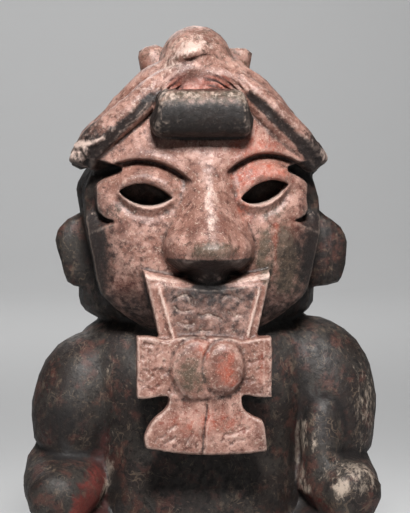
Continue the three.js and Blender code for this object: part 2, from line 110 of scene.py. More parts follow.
def hump(x, middle, spread):
    """A bell: e to the minus square of the distance over the spread."""
    return np.exp(-(((x - middle) / spread) ** 2))


def power(v, e):
    """v raised to e with its sign kept, which squares up or pinches a circle's sine and cosine."""
    return np.sign(v) * np.abs(v) ** e


print("half-way up a soft step:", ease(0.5, 0, 1))

# %% [markdown]
# ## Skins
#
# Every form is a closed skin over a grid of two parameters. A limb is a ring carried along a path. The mask
# and its plates are a front sheet, with a flat back behind it. Faces are index arithmetic on the grid. The
# skins may run through each other, because the next stage keeps only what lies outside.


# %% A closed tube over rings, and a closed slab behind a front sheet
def quads(a, b, c, d):
    """Two triangles for each square of corner numbers a, b, c, d."""
    a, b, c, d = (np.ravel(v) for v in (a, b, c, d))
    return np.concatenate([np.stack([a, b, c], 1), np.stack([a, c, d], 1)])


def outward(points, faces):
    """The faces turned to point outwards: six times the volume is the sum of corner triple products."""
    p, q, r = (points[faces[:, k]] for k in range(3))
    volume = np.einsum("ij,ij->i", p, np.cross(q, r)).sum()
    return points, faces if volume > 0 else faces[:, ::-1]


def tube(rings):
    """Skin over an array of rings (ring, corner, xyz), with a fan from the middle of both end rings."""
    n, sides, _ = rings.shape
    at = np.arange(n * sides).reshape(n, sides)
    turned = np.roll(at, -1, 1)
    hubs = np.array([rings[0].mean(0), rings[-1].mean(0)])
    first = np.stack([turned[0], at[0], np.full(sides, n * sides)], 1)
    last = np.stack([at[-1], turned[-1], np.full(sides, n * sides + 1)], 1)
    faces = np.concatenate([quads(at[:-1], turned[:-1], turned[1:], at[1:]), first, last])
    return outward(np.concatenate([rings.reshape(-1, 3), hubs]), faces)


def slab(front, back):
    """Skin over a front sheet (row, column, xyz), the same sheet flat at y = back, and the rim between."""
    rows, columns, _ = front.shape
    rear = front.copy()
    rear[..., 1] = back
    at = np.arange(rows * columns).reshape(rows, columns)
    far = at + at.size
    rim = np.concatenate([at[0, :-1], at[:-1, -1], at[-1, :0:-1], at[:0:-1, 0]])
    after = np.roll(rim, -1)
    faces = np.concatenate([
        quads(at[:-1, :-1], at[:-1, 1:], at[1:, 1:], at[1:, :-1]),
        quads(far[:-1, :-1], far[1:, :-1], far[1:, 1:], far[:-1, 1:]),
        quads(rim, rim + at.size, after + at.size, after),
    ])
    return outward(np.concatenate([front.reshape(-1, 3), rear.reshape(-1, 3)]), faces)


# %% A limb, a stack and a rounded lump
def limb(stations, sides=40, steps=14, domes=(1, 1), up=(0, 0, 1), section=None):
    """Elliptical rings along the curve through stations [x, y, z, half across, half deep].

    A ring's corner is the centre plus half across times the cosine of its turn, along the level direction
    square to the path, plus half deep times the sine, square to both. The ends are domes: the rings shrink
    with the cosine of 90 to 0 degrees while they move out with its sine. section(turn, share) scales a ring.
    """
    path = curve_through(stations, (len(stations) - 1) * steps + 1)
    turns = np.radians([88, 75, 60, 45, 30, 15])
    grow, move, along = [np.ones(len(path))], [np.zeros(len(path))], [path]
    if domes[0]:
        grow.insert(0, np.cos(turns)), move.insert(0, -domes[0] * np.sin(turns))
        along.insert(0, np.repeat(path[:1], len(turns), 0))
    if domes[1]:
        grow.append(np.cos(turns[::-1])), move.append(domes[1] * np.sin(turns[::-1]))
        along.append(np.repeat(path[-1:], len(turns), 0))
    slope = np.gradient(path[:, :3], axis=0)
    ahead = np.concatenate([np.repeat(slope[:1], len(turns) if domes[0] else 0, 0), slope,
                            np.repeat(slope[-1:], len(turns) if domes[1] else 0, 0)])
    path, grow, move = np.concatenate(along), np.concatenate(grow), np.concatenate(move)
    ahead /= np.linalg.norm(ahead, axis=1, keepdims=True)
    level = np.cross(up, ahead)
    level /= np.linalg.norm(level, axis=1, keepdims=True)
    square = np.cross(ahead, level)
    centre = path[:, :3] + ahead * (move * path[:, 3:].min(1))[:, None]
    turn = np.linspace(0, 2 * pi, sides, endpoint=False)
    share = np.linspace(0, 1, len(path))
    scale = grow[:, None] * (section(turn[None], share[:, None]) if section else np.ones((1, sides)))
    across = (path[:, 3:4] * np.cos(turn) * scale)[..., None] * level[:, None]
    deep = (path[:, 4:5] * np.sin(turn) * scale)[..., None] * square[:, None]
    return tube(centre[:, None] + across + deep)


def stack(levels, e, sides=96, steps=10):
    """Level rings between [z, half width, front y, back y]: superellipses of exponent e, squarer for a large e."""
    z, half, front, back = curve_through(levels, (len(levels) - 1) * steps + 1).T[..., None]
    turn = np.linspace(0, 2 * pi, sides, endpoint=False)[None]
    x = half * power(np.cos(turn), 2 / e)
    y = (front + back) / 2 + (back - front) / 2 * power(np.sin(turn), 2 / e)
    return tube(np.stack([x, y, z + 0 * x], -1))


def lump(middle, half, count=40):
    """An ellipsoid: half sizes times the cosine and sine of height and turn."""
    high = np.linspace(-pi / 2, pi / 2, count + 2)[1:-1, None]
    turn = np.linspace(0, 2 * pi, 2 * count, endpoint=False)[None]
    parts = np.cos(high) * np.cos(turn), np.cos(high) * np.sin(turn), np.sin(high) + 0 * turn
    return tube(np.stack(parts, -1) * half + middle)


print("a trial lump has", len(lump((0, 0, 0), (1, 1, 1))[1]), "faces")

# %% [markdown]
# ## The mask
#
# The mask is the heart of the figure: a curved sheet with sharp brows, sunken sockets, slit eyes whose outer
# lobes end in stepped notches, and a broad nose. It could be sculpted, but as a height over a grid every
# crease has a formula. `mask_relief` gives how far the front stands out from y = 0 at any x and z. The slits
# open into the hollow on the real figure; here they are deep pockets, as in the solid.

# %% The mask's sizes
JAW_Z, HAIRLINE_Z = 180, 357
NOSE_X, NOSE_BASE_Z, NOSE_TOP_Z = 1.5, 209, 304
BROW = dict(inner_x=11, span=30, step=7, sunk=1.5)
BROW_ARCH = {-1: dict(x=42, z=295.2, inner=12, outer=10), 1: dict(x=39.6, z=299, inner=15, outer=11.5)}
EYES = {-1: dict(x=39.4, z=272, half=17.2, above=7.0, below=7.6, rise=4),
        1: dict(x=38.4, z=273.9, half=16.0, above=6.4, below=7.8, rise=9)}
EYE_DEPTH = 26
NOTCH = dict(x=57, z=254.6, down=0.47, depth=14, top_x=50, top_z=288.5, top_up=0.3)

mask_half = knot_curve([
    [JAW_Z, 34], [186, 44], [195, 56], [206, 67], [218, 71], [232, 73.5], [246, 76.5],
    [262, 78], [274, 77], [283, 74], [295, 69], [312, 57], [332, 40], [HAIRLINE_Z, 22]])
mask_middle = knot_curve([
    [JAW_Z, 50], [195, 57], [215, 61], [245, 63], [275, 63], [297, 64], [312, 62], [332, 56],
    [HAIRLINE_Z, 46]])
nose_half = knot_curve([
    [NOSE_BASE_Z, 7], [214, 10], [219, 15.5], [223, 21], [227, 26], [230, 28.5], [233, 29.5], [238, 30],
    [243, 29], [249, 27], [257, 24], [268, 19], [282, 15.5], [292, 16], [NOSE_TOP_Z, 20]])
nose_height = knot_curve([
    [NOSE_BASE_Z, 6], [213, 9], [217, 12.5], [221, 16.5], [225, 21], [228, 25.5], [230.5, 29.5], [233, 31.8],
    [239, 32.5], [246, 28], [258, 19], [272, 11.5], [282, 6.5], [290, 3.5], [298, 1.2], [NOSE_TOP_Z, 0]])
lobe_edge = knot_curve([
    [NOTCH["z"], NOTCH["x"]], [256.3, 64], [259, 68.3], [263, 70.6], [270, 71.2], [277, 70.8], [280.5, 68],
    [284.5, 60], [NOTCH["top_z"], NOTCH["top_x"]]])
lobe_under = knot_curve([[NOTCH["x"], NOTCH["z"] + 1.2], [64, 256.3], [68.3, 259], [71, 262], [80, 264]])
print("the mask is", 2 * float(mask_half(262)), "mm wide at the eyes")


# %% The sheet and the brows
def mask_sheet(x, z):
    """Middle depth less 16 mm times the share of the half width to the power 2.4."""
    return mask_middle(z) - 16 * np.minimum(np.abs(x) / mask_half(z), 1) ** 2.4


def brow_line(x):
    """Height of the brow's lower edge: on each side a peak that falls off as a square of the distance."""
    ax = np.maximum(np.abs(x), BROW["inner_x"])
    line = {}
    for side, arch in BROW_ARCH.items():
        drop = np.where(ax < arch["x"], arch["inner"], arch["outer"])
        line[side] = arch["z"] - drop * ((ax - arch["x"]) / BROW["span"]) ** 2
    return np.where(x < 0, line[-1], line[1])


def brow_relief(x, z):
    """Below the brow line the face steps back, most of all just under it, but not across the nose."""
    below = brow_line(x) - z
    beside = ease(np.abs(x - NOSE_X), 9, 18)
    socket = ease(z, 258, 276)
    step = BROW["step"] * np.exp(-((below / 7) ** 2)) + BROW["sunk"] * socket
    return beside * (0.9 * hump(below, -2.5, 2.5) - ease(below, -0.6, 1.2) * step)


print("the brows' edges peak at", [arch["z"] for arch in BROW_ARCH.values()], "mm")

# %% [markdown]
# ### Eyes
#
# The real eyes are slits cut through the wall, under a rolled lid and over a thin raised rim. Outside them
# the face is cut back in a notch with a ramp for its floor. A boolean could cut all that, but with knife-sharp
# edges. Here each edge is a curve, and the distance to it gives the slit, the lids and the notch alike.


# %% Slits, lids and notches
def lid_edges(x, eye, side):
    """Upper and lower edge of a slit: a sloping middle line plus and less a blunt parabola."""
    s = (side * x - eye["x"]) / eye["half"]
    middle = eye["z"] + eye["rise"] * np.clip(s, -1, 1) / 2
    swell = 1 - np.minimum(np.abs(s), 1) ** 2.2
    return s, middle + eye["above"] * swell, middle - eye["below"] * swell


def eye_gap(x, z):
    """Millimetres inside an eye slit (negative outside): the smaller distance to the edges of its lids."""
    gap = np.full(np.broadcast(x, z).shape, -99.0)
    for side, eye in EYES.items():
        s, upper, lower = lid_edges(x, eye, side)
        inside = np.minimum(upper - z, z - lower)
        gap = np.maximum(gap, np.where(np.abs(s) < 1, inside, -99))
    return gap


def lids(x, z):
    """A rolled upper lid, a thin raised rim along the lower edge and a hollow under it."""
    relief = 0
    for side, eye in EYES.items():
        s, upper, lower = lid_edges(x, eye, side)
        span = ease(np.abs(s), 1.35, 0.8)
        relief = relief + span * (3.4 * hump(z - upper, 4.0, 5.5) + 1.9 * hump(lower - z, 0.6, 2.0))
        relief = relief - span * 1.6 * hump(lower - z, 6.0, 3.2)
    return relief


def notches(x, z):
    """Outside the eye lobe the face is cut back: a ledge ramps down to it from below, with a wall above."""
    depth = 0
    for side in EYES:
        out = side * x
        floor_z = NOTCH["z"] - (out - NOTCH["x"]) * NOTCH["down"]
        roof_z = NOTCH["top_z"] + (out - NOTCH["top_x"]) * NOTCH["top_up"]
        beyond = ease(out - lobe_edge(z) + 3.5 * (side > 0) * hump(z, 270, 12), -0.3, 0.5)
        ledge = np.clip((z - floor_z) / (lobe_under(out) - floor_z), 0, 1) ** 1.2
        depth = depth + NOTCH["depth"] * beyond * ledge * ease(roof_z - z, -0.3, 0.5)
    return depth


print("the slits are", [2 * eye["half"] for eye in EYES.values()], "mm long")

# %% [markdown]
# ### Nose, and the mask as a whole
#
# The nose is broad at the wings, and its ridge slopes back to the brows. It could be a lump of its own, but it
# has to run into the face with no seam. So it is one more height, from two curves up the face: how wide the
# nose is, and how far it stands out. The sum of all the heights is the mask.


# %% The nose, and the sum of the mask's forms
def nose_relief(x, z):
    """Nose height times one less the share across to 2.6, raised to a power: blunt wings, a sloping ridge."""
    share = np.clip(np.abs(x - NOSE_X) / nose_half(z), 0, 1)
    crease = 0.16 * hump(share, 0.55, 0.16) * ease(z, 254, 244) * ease(z, 229, 233)
    tip = 1.2 * hump(z, 238, 7) * hump(x - NOSE_X, 0, 9)
    slope = ease(z, 243, 260)
    inside = (z > NOSE_BASE_Z) & (z < NOSE_TOP_Z)
    profile = (1 - share ** (2.6 - 0.8 * slope)) ** (0.8 + 0.8 * slope)
    return np.where(inside, (nose_height(z) * (1 - crease) + tip) * profile, 0)


def nostrils(x, z):
    """Two deep oval dimples in the underside of the nose."""
    return 7 * np.exp(-(((np.abs(x - NOSE_X) - 12) / 6) ** 2 + ((z - 222) / 4) ** 2) ** 1.5)


def mask_relief(x, z):
    """Sheet, brows, lids, cheeks and nose, less the nostrils, the notches and the slits."""
    cheeks = 2.5 * hump(z, 230, 18) * hump(np.abs(x), 48, 20)
    solid = mask_sheet(x, z) + brow_relief(x, z) + lids(x, z) + cheeks + nose_relief(x, z)
    solid = solid - nostrils(x, z) - notches(x, z)
    slit = ease(eye_gap(x, z), -0.35, 0.35)
    return solid * (1 - slit) + (mask_middle(z) - EYE_DEPTH) * slit


def mask_skin(step=0.55):
    """A grid whose columns are shares of the mask's half width at each height, pushed out by the relief."""
    z = np.arange(JAW_Z, HAIRLINE_Z + step / 2, step)[:, None]
    x = np.linspace(-1, 1, int(156 / step))[None] * mask_half(z)
    return slab(np.stack([x, -mask_relief(x, z), z + 0 * x], -1), 0)


skins = [mask_skin()]
print("mask:", len(skins[0][0]), "points; the nose stands", round(float(nose_height(239)), 1), "mm proud")

# %% [markdown]
# ## The plates under the nose
#
# A mouth plate with a raised panel, a tied bow with two square wings and a knot of two discs, and a flared
# tab. On the real figure they are thick slabs of clay with soft edges, cut with a blade. Each is a front
# sheet whose two parameters run across and up the plate, so its own outline bends the grid.

# %% The mouth plate
MOUTH = dict(top=223.5, dip=217, bottom=178, half_top=41.5, half_bottom=31, front=72, thick=16, lean=0.1,
             ledge=4.5)


def edge_round(u, v, reach, radius):
    """How far a plate's face falls back near its edges: a quarter circle of the given radius, in mm."""
    near = np.minimum((1 - np.abs(u)) * reach[0], np.minimum(v, 1 - v) * reach[1])
    s = np.clip(1 - near / radius, 0, 1)
    return radius * (1 - np.sqrt(1 - s * s))


def panel_edge(x, z):
    """Distance of the ridge round the lower panel from the middle line, a little wider at the viewer's right."""
    v = (z - MOUTH["bottom"]) / (MOUTH["top"] - MOUTH["bottom"])
    return np.where(x < 0, 22.2 + 12.9 * v, 24.6 + 12.2 * v)


def mouth_groove(x):
    """Height of the groove under the plate's upper lip: level ends and a shallow sag."""
    return 216 - 4 * hump(x, 2, 22)


def mouth_skin(count=170):
    """Across times up. The upper edge slopes back as a ledge, and a ridge frames the lower panel."""
    u, v = np.linspace(-1, 1, count)[None], np.linspace(0, 1, count // 2)[:, None]
    top = MOUTH["dip"] + (MOUTH["top"] - MOUTH["dip"]) * np.abs(u) ** 1.5
    z = MOUTH["bottom"] + (top - MOUTH["bottom"]) * v
    half = MOUTH["half_bottom"] + (MOUTH["half_top"] - MOUTH["half_bottom"]) * v
    x = half * u
    inner = panel_edge(x, z) - np.abs(x)
    under = ease(mouth_groove(x) - z, -0.5, 0.8)
    ridge = 2.0 * hump(inner, 0.3, 1.4) * ease(mouth_groove(x) - z, 0.5, 4)
    panel = 0.7 * ease(inner, -1.5, 1.5) * under
    groove = 1.2 * hump(z - mouth_groove(x), 0, 0.8) * ease(inner, -4, -1)
    lip = 0.7 * hump(z - mouth_groove(x), 3.0, 1.6)
    ledge = 9 * np.clip(1 - (top - z) / MOUTH["ledge"], 0, 1) ** 1.4
    y = MOUTH["front"] + MOUTH["lean"] * (MOUTH["top"] - z) + panel + ridge + lip - groove - ledge
    y = y - edge_round(u, np.minimum(v, 0.5), (half, MOUTH["top"] - MOUTH["bottom"]), 2.0)
    return slab(np.stack([x, -y, z], -1), MOUTH["thick"] - MOUTH["front"])


print("the mouth plate is", MOUTH["top"] - MOUTH["bottom"], "mm high")

# %% [markdown]
# ### The bow
#
# Two square wings and a knot of two overlapping discs, the right one higher, each in a groove of its own. The
# discs could be lumps pressed on, but a groove is easier as a height: it follows the share of the way from a
# disc's middle to its edge. The wings' torn seam and the blade lines at the left end are heights as well.

# %% The bow and its knot
BOW = dict(x=-3, top=182, bottom=142, half=43.5, front=84, thick=13)
LEFT_DISC = dict(x=-8.5, z=160.5, half=16.2, high=20.3, groove=1.06, radius=18)
RIGHT_DISC = dict(x=9.3, z=161.5, half=12.9, high=17.2, groove=1.1, radius=13)
KNOT_SKIRT = dict(x=3, z=158, half=20, high=17.5)


def oval(x, z, disc):
    """Share of the way from the middle of an oval disc (0) to its edge (1)."""
    return np.hypot((x - disc["x"]) / disc["half"], (z - disc["z"]) / disc["high"])


def off_groove(x, z, disc):
    """Millimetres outside the groove round a disc: the share past it times the disc's rough radius."""
    return disc["radius"] * (oval(x, z, disc) - disc["groove"])


def knot_relief(x, z):
    """A large low disc; over its right half a smaller, higher one with a rim, in a groove of its own."""
    left, right, skirt = oval(x, z, LEFT_DISC), oval(x, z, RIGHT_DISC), oval(x, z, KNOT_SKIRT)
    low = np.maximum(6.2 * np.clip(1 - left**4, 0, 1) ** 0.45, 5.2 * np.clip(1 - skirt**4, 0, 1) ** 0.45)
    cut = 0.5 + 0.7 * np.maximum(ease(z, 157, 163) * ease(x, 4, 0), ease(z, 158, 153) * ease(x, 8, 12))
    low = low - 1.6 * cut * hump(off_groove(x, z, RIGHT_DISC), 0, 1.3)
    low = low - 1.0 * hump(off_groove(x, z, LEFT_DISC), 0, 1.2)
    rim = 0.7 * hump(RIGHT_DISC["radius"] * (right - 0.86), 0, 1.4) * ease(x, 8, 0)
    return np.maximum(low, 7.4 * np.clip(1 - right**4, 0, 1) ** 0.4 + rim)


def bow_skin(count=190):
    """Across times up, with the edges drawn in beside the knot, blade lines at the left end and a groove."""
    u, v = np.linspace(-1, 1, count)[None], np.linspace(0, 1, count // 2)[:, None]
    waist = hump(np.abs(u), 0.58, 0.16)
    top = BOW["top"] - 2.5 * waist - 1 * (u > 0)
    bottom = BOW["bottom"] + 2 * waist - 2.5 * hump(u, 0, 0.45)
    z, x = bottom + (top - bottom) * v, BOW["half"] * u + BOW["x"]
    y = BOW["front"] - 1.4 * waist - edge_round(u, v, (BOW["half"], 40), 1.8)
    cut = sum(1.4 * hump(x, at, 0.7) for at in (-43.5, -41, -38.6)) * ease(z, 156, 168)
    edge = 1.0 * hump(x, 35.3, 0.8) * ease(z, 148, 152)
    ragged = 1.3 * hump(z, 163.5 + 1.1 * np.sin(x / 2.3) + 0.07 * x, 1.0) * ease(np.abs(x + 2), 22, 25)
    y = y - cut + edge - ragged * ease(np.abs(x), 40, 34)
    y = np.maximum(y, BOW["front"] - 1.5 + knot_relief(x, z))
    return slab(np.stack([x + 0 * z, -y, z], -1), BOW["thick"] - BOW["front"])


print("the bow is", 2 * BOW["half"], "mm wide")

# %% [markdown]
# ### The tab
#
# The flared piece under the bow has a different outline on each side, and a crooked groove runs down it. A
# drawn outline could be extruded, but two curves of half width over height bend the same grid as before.

# %% The tab, and the three plates together
TAB = dict(top=146, bottom=105, front=84, thick=10)
tab_left = knot_curve([[104, 37], [107, 39], [111, 41.3], [115, 42.1], [119, 41.4], [125, 38.4], [130, 34.5],
                       [133, 30.5], [136, 27.6], [139, 26.3], [146, 26]])
tab_right = knot_curve([[104, 36.5], [108, 37.4], [113, 37.2], [119, 36.5], [124, 35.8], [127, 34.5],
                        [129, 30.5], [131, 26.5], [134, 23], [137, 21.5], [146, 21]])


def tab_skin(count=170):
    """Up the tab its half width follows a curve; the lower edge hangs lowest in the middle."""
    u, v = np.linspace(-1, 1, count)[None], np.linspace(0, 1, count // 2)[:, None]
    sag = np.where(u < 0, 5, 2) * u**2 * (1 - v) ** 2
    z = TAB["bottom"] + (TAB["top"] - TAB["bottom"]) * v + sag
    x = u * np.where(u < 0, tab_left(z), tab_right(z))
    y = TAB["front"] + 1.5 * hump(z, 118, 12) - edge_round(u, v, (38, 42), 2.2)
    line = x + 1.4 + 0.115 * (138 - z) + 0.4 * np.sin(z / 3.1)
    y = y - 1.9 * hump(line, 0, 1.0) * ease(z, 141, 138) + 0.6 * hump(line, 1.6, 0.9) * ease(z, 128, 118)
    y = y - 1.6 * hump(line, -0.4, 1.6) * hump(z, 117.5, 1.8)
    return slab(np.stack([x, -y, z], -1), TAB["thick"] - TAB["front"])


skins += [mouth_skin(), bow_skin(), tab_skin()]
print("plates:", [len(s[0]) for s in skins[1:]], "points")

# %% [markdown]
# ## The headdress
#
# A dark roll lies across the forehead. Thick folded bands run down both sides, one over the other. Over the
# brow an arched fold of cloth gathers to a knot, and two broken stubs stand behind it. They are limbs whose
# ring is not round: a few waves on its radius, turning slowly along the path, read as soft folds in clay.

# %% The roll
ROLL = dict(x=-3.5, z=325, half_top=29.5, half_bottom=34, half_high=15.5, back=-50, front=-81)


def roll_skin(sides=72, count=60):
    """A bar along x: its section is a squarish superellipse, and its length grows from the top down."""
    turn = np.linspace(0, 2 * pi, sides, endpoint=False)[None]
    share = np.sin(np.linspace(-pi / 2, pi / 2, count))[:, None]
    shrink = np.clip(1 - np.abs(share) ** 14, 0.04, 1) ** 0.5
    high = power(np.sin(turn), 0.8)
    half = ROLL["half_bottom"] + (ROLL["half_top"] - ROLL["half_bottom"]) * (high + 1) / 2
    middle, deep = (ROLL["front"] + ROLL["back"]) / 2, (ROLL["back"] - ROLL["front"]) / 2
    y = middle - deep * shrink * power(np.cos(turn), 0.9)
    z = ROLL["z"] + ROLL["half_high"] * shrink * high
    return tube(np.stack([ROLL["x"] + share * half, y, z], -1))


print("the roll is", 2 * ROLL["half_bottom"], "mm wide along its lower edge")

# %% [markdown]
# ### The bands
#
# On each side one thick fold of cloth lies over another, from under the crest down to the temple. Simulated
# cloth would be too thin and too lively for modelled clay, so each band is a limb with three soft waves.


# %% The bands
def folded(waves, depth, twist=0.0):
    """A section for limb: radius 1 plus waves of the given depth, twisted along the path."""
    return lambda turn, share: 1 + depth * np.cos(waves * turn + twist * share)


def band_skins(side):
    """The front band of a side lies over the back one; both start under the crest and fall to the temple."""
    if side > 0:
        front = [(8, -40, 350, 8, 8), (26, -47, 342, 9, 10), (40, -49, 329, 10, 11), (54, -47, 315, 10.5, 12),
                 (66, -42, 302, 10.5, 12), (74, -36, 293, 9, 10)]
        back = [(12, -26, 356, 8, 12), (29, -28, 346, 9, 14), (43, -24, 332, 10, 15), (57, -18, 316, 10, 15),
                (68, -12, 303, 9.5, 14), (73, -8, 291, 8, 12)]
    else:
        front = [(-14, -40, 350, 8, 8), (-30, -47, 342, 9, 10), (-44, -49, 330, 9.5, 11),
                 (-58, -47, 318, 9.5, 12), (-71, -42, 306, 10, 12), (-79, -36, 294, 9.5, 10)]
        back = [(-12, -26, 356, 8, 12), (-31, -28, 347, 9, 14), (-45, -24, 334, 9.5, 15),
                (-58, -18, 319, 9.5, 15), (-71, -12, 307, 9.5, 14), (-79, -8, 295, 8, 12)]
    return [limb(front, domes=(0, 0.3), up=(0, 1, 0), section=folded(3, 0.07, 1.8)),
            limb(back, domes=(0, 1), up=(0, 1, 0), section=folded(3, 0.05, -1.5))]


print("a side's bands have", [len(skin[0]) for skin in band_skins(1)], "points")

# %% [markdown]
# ### The crest and the stubs
#
# Over the roll the cloth is gathered in two bundles that part in the middle, with a thick fold above them and
# a rounded knot on top. Behind it stand two broken posts. Lumps carry the mass. The bundles are limbs with
# many waves, which read as gathers once they are fused and smoothed.


# %% The crest and the stubs
def crest_skins():
    """The knot, the cloth under it, a thick fold, two gathered bundles that part in the middle, and lumps."""
    left = [(-34, -38, 341, 5, 5), (-27, -42, 347, 5, 5), (-18, -45, 352, 5, 5), (-7, -46, 353.5, 5, 5),
            (2, -44, 352, 4, 4)]
    right = [(-1, -44, 350, 5, 5), (12, -45, 348, 8, 7), (22, -42, 342, 8, 7), (31, -38, 335, 6, 6)]
    fold = [(-26, -35, 351, 4, 4), (-18, -42, 358, 4.5, 5), (-12, -45, 362, 5, 6), (-5, -44, 364.5, 5, 6),
            (2, -36, 362.5, 4, 5)]
    gathers = [limb(p, up=(0, 1, 0), sides=120, section=folded(16, 0.05, 1.2)) for p in (left, right)]
    return [lump((-3, -18, 352), (26, 29, 31)), lump((-3, -33, 345), (30, 13, 14)), *gathers,
            limb(fold, up=(0, 1, 0)), lump((11, -35, 360), (8, 6, 5)), lump((20, -31, 355), (8, 7, 6))]


def stub_skin(side):
    """A short round post that leans outwards, broken flat on the right and rounder on the left."""
    top, dome = (367, 0.2) if side > 0 else (364.7, 0.6)
    post = [(side * 23.2, 26, 330, 10.5, 10.5), (side * 29, 30, top, 10.5, 10.5)]
    return limb(post, domes=(0, dome), up=(0, 1, 0))


skins += [roll_skin(), *crest_skins()] + [s for side in EYES for s in (*band_skins(side), stub_skin(side))]
print("headdress:", len(skins) - 4, "skins")

# %% [markdown]
# ## The head behind the mask, the body and the base
#
# The hood of hair is a stack of squarish rings. The body is a trunk with heavy arms laid against it, and
# below the edge of the picture the legs are folded on a low base, kept plain because nothing of them shows.

# %% The hood and the ears
HOOD = [(184, 58, -18, 46), (188, 72, -26, 57), (195, 79, -30, 66), (208, 80, -33, 75), (226, 79, -34, 81),
        (246, 78, -34, 84), (262, 80, -34, 84), (272, 81.5, -34, 82), (280, 79, -34, 80), (292, 71, -36, 73),
        (308, 60, -36, 73), (324, 48, -34, 63), (338, 37, -32, 52), (350, 25, -26, 40), (358, 13, -16, 28)]
EAR_EDGE = {-1: [[207.5, 80], [209, 86], [215, 90.5], [222, 92], [230, 95], [240, 97.3], [246, 96], [250, 93],
                 [254, 88], [258, 80]],
            1: [[206.5, 84], [208.5, 93], [212, 98], [222, 100.4], [235, 101.2], [244, 99.3], [250, 95],
                [253.5, 90], [257, 85], [262, 81]]}


def ear_skin(side, count=60):
    """Level rings, squarish, from inside the hood to an outer edge that is a curve of the height."""
    outer, inner = knot_curve(EAR_EDGE[side]), 66
    low, high = EAR_EDGE[side][0][0], EAR_EDGE[side][-1][0]
    share = np.sin(np.linspace(-pi / 2, pi / 2, count))[:, None]
    z = (low + high) / 2 + (high - low) / 2 * share
    turn = np.linspace(0, 2 * pi, 72, endpoint=False)[None]
    half = (outer(z) - inner) / 2
    thick = 8.5 * np.clip(1 - share**8, 0.02, 1) ** 0.5
    x = side * (inner + half + half * power(np.cos(turn), 0.7))
    y = -0.5 + thick * power(np.sin(turn), 0.7)
    return tube(np.stack([x, y, z + 0 * x], -1))


print("the ears reach", [max(reach for _, reach in edge) for edge in EAR_EDGE.values()], "mm out")

# %% [markdown]
# ### Arms and legs
#
# The arms hang from heavy shoulders, thicker than the trunk needs, and the forearms lie on the knees. They
# could be built from bones and a skin, as a living figure is, but this one never moved. A limb through a few
# stations gives the same swelling forms.

# %% Arms and legs
SHOULDER = {-1: (79, 144, 32), 1: (84, 150, 35)}
ARM_Y = -3


def arm_skins(side):
    """Shoulder to elbow, and a forearm that rests on the knee."""
    x, z, r = SHOULDER[side]
    upper = [(side * (x - 34), ARM_Y + 8, z + 10, r - 9, r - 7), (side * (x - 6), ARM_Y + 6, z + 3, r - 2, r),
             (side * (x + 4), ARM_Y + 2, z - 16, r - 2, r), (side * (x + 6), ARM_Y, 114, r - 4, r - 3),
             (side * (x + 5), ARM_Y, 98, r - 6, r - 8)]
    fore = [(side * 88, 6, 88, 29, 20), (side * 91, -18, 80, 28, 20), (side * 94, -38, 75, 26, 19),
            (side * 99, -54, 72, 19, 19)]
    return [limb(upper, domes=(0, 0.5), up=(0, 1, 0), sides=60), limb(fore, domes=(0.7, 0.6), sides=60)]


def leg_skins(side):
    """Thigh out to the knee, and the shin back across the front."""
    lift = 0 if side > 0 else 5
    thigh = [(side * 36, 40, 42, 34, 32), (side * 66, 2, 42, 32, 29), (side * 90, -36, 38, 29, 27),
             (side * 95, -48, 38, 27, 27)]
    shin = [(side * 91, -52, 32, 22, 22), (side * 62, -72, 28 + lift, 19, 17), (side * 26, -83, 26 + lift, 15, 14),
            (-side * 6, -85, 24 + lift, 14, 12), (-side * 30, -83, 22, 14, 11)]
    return [limb(thigh, domes=(0, 0.85), sides=60), limb(shin, domes=(0.5, 0.8), sides=60)]


print("arm and leg of one side:", sum(len(s[0]) for s in arm_skins(1) + leg_skins(1)), "points")

# %% [markdown]
# ### Trunk, throat and base
#
# What is left is plain: a trunk of squarish rings, the clay that joins chin and plates to the chest, a ridge
# down the right arm, a fill between belly and shins, and a low round base with a worn edge.

# %% Trunk, joins and base, and all skins together
TRUNK = [(8, 72, -46, 84), (26, 78, -50, 88), (50, 76, -54, 84), (80, 71, -54, 76), (110, 69, -54, 70),
         (140, 76, -52, 68), (162, 82, -44, 66), (178, 76, -36, 60), (190, 56, -26, 50), (204, 46, -20, 44)]
ridge = [(80, -25, 127, 13, 14), (80, -31, 106, 14, 15), (82, -34, 84, 15, 15), (84, -36, 70, 13, 13)]
throat = [(0, -20, 172, 40, 26), (0, -50, 167, 34, 22), (-2, -76, 161, 26, 17)]
lap = [(-52, -56, 26, 13, 14), (0, -63, 22, 13, 14), (52, -56, 26, 13, 14)]
foot = [(0, 130, -104, 104), (4, 130, -104, 104), (8, 130, -104, 104), (12, 126.5, -101.5, 101.5)]
skins += [stack(HOOD, 2.5), stack(TRUNK, 2.4), stack(foot, 2.7, steps=1)]
skins += [limb(ridge, domes=(0.7, 0.3), up=(0, 1, 0)), limb(throat, domes=(0, 0)), limb(lap, domes=(0.5, 0.5))]
skins += [s for side in EYES for s in (ear_skin(side), *arm_skins(side), *leg_skins(side))]
print("in all:", len(skins), "skins")

# %% [markdown]
# ## Fusing the skins
#
# Wet clay joins to clay, so the figure is one skin. A boolean union would keep every crease knife-sharp. The
# voxel Remesh modifier instead lays a fine lattice over the whole and draws one new surface round what is
# inside, at about the size of a grain of temper. Its stair-steps are worn away by the smoothing after it.

# %% One mesh from all skins, remeshed
VOXEL = 0.9


def mesh_of(name, points, faces):
    """A mesh from arrays of points, in mm, and triangles."""
    mesh = bpy.data.meshes.new(name)
    mesh.vertices.add(len(points))
    mesh.vertices.foreach_set("co", (np.asarray(points, float) * MM).astype(np.float32).ravel())
    mesh.loops.add(faces.size)
    mesh.loops.foreach_set("vertex_index", np.ascontiguousarray(faces, np.int32).ravel())
    mesh.polygons.add(len(faces))
    mesh.polygons.foreach_set("loop_start", np.arange(0, faces.size, 3, dtype=np.int32))
    mesh.update(calc_edges=True)
    return mesh


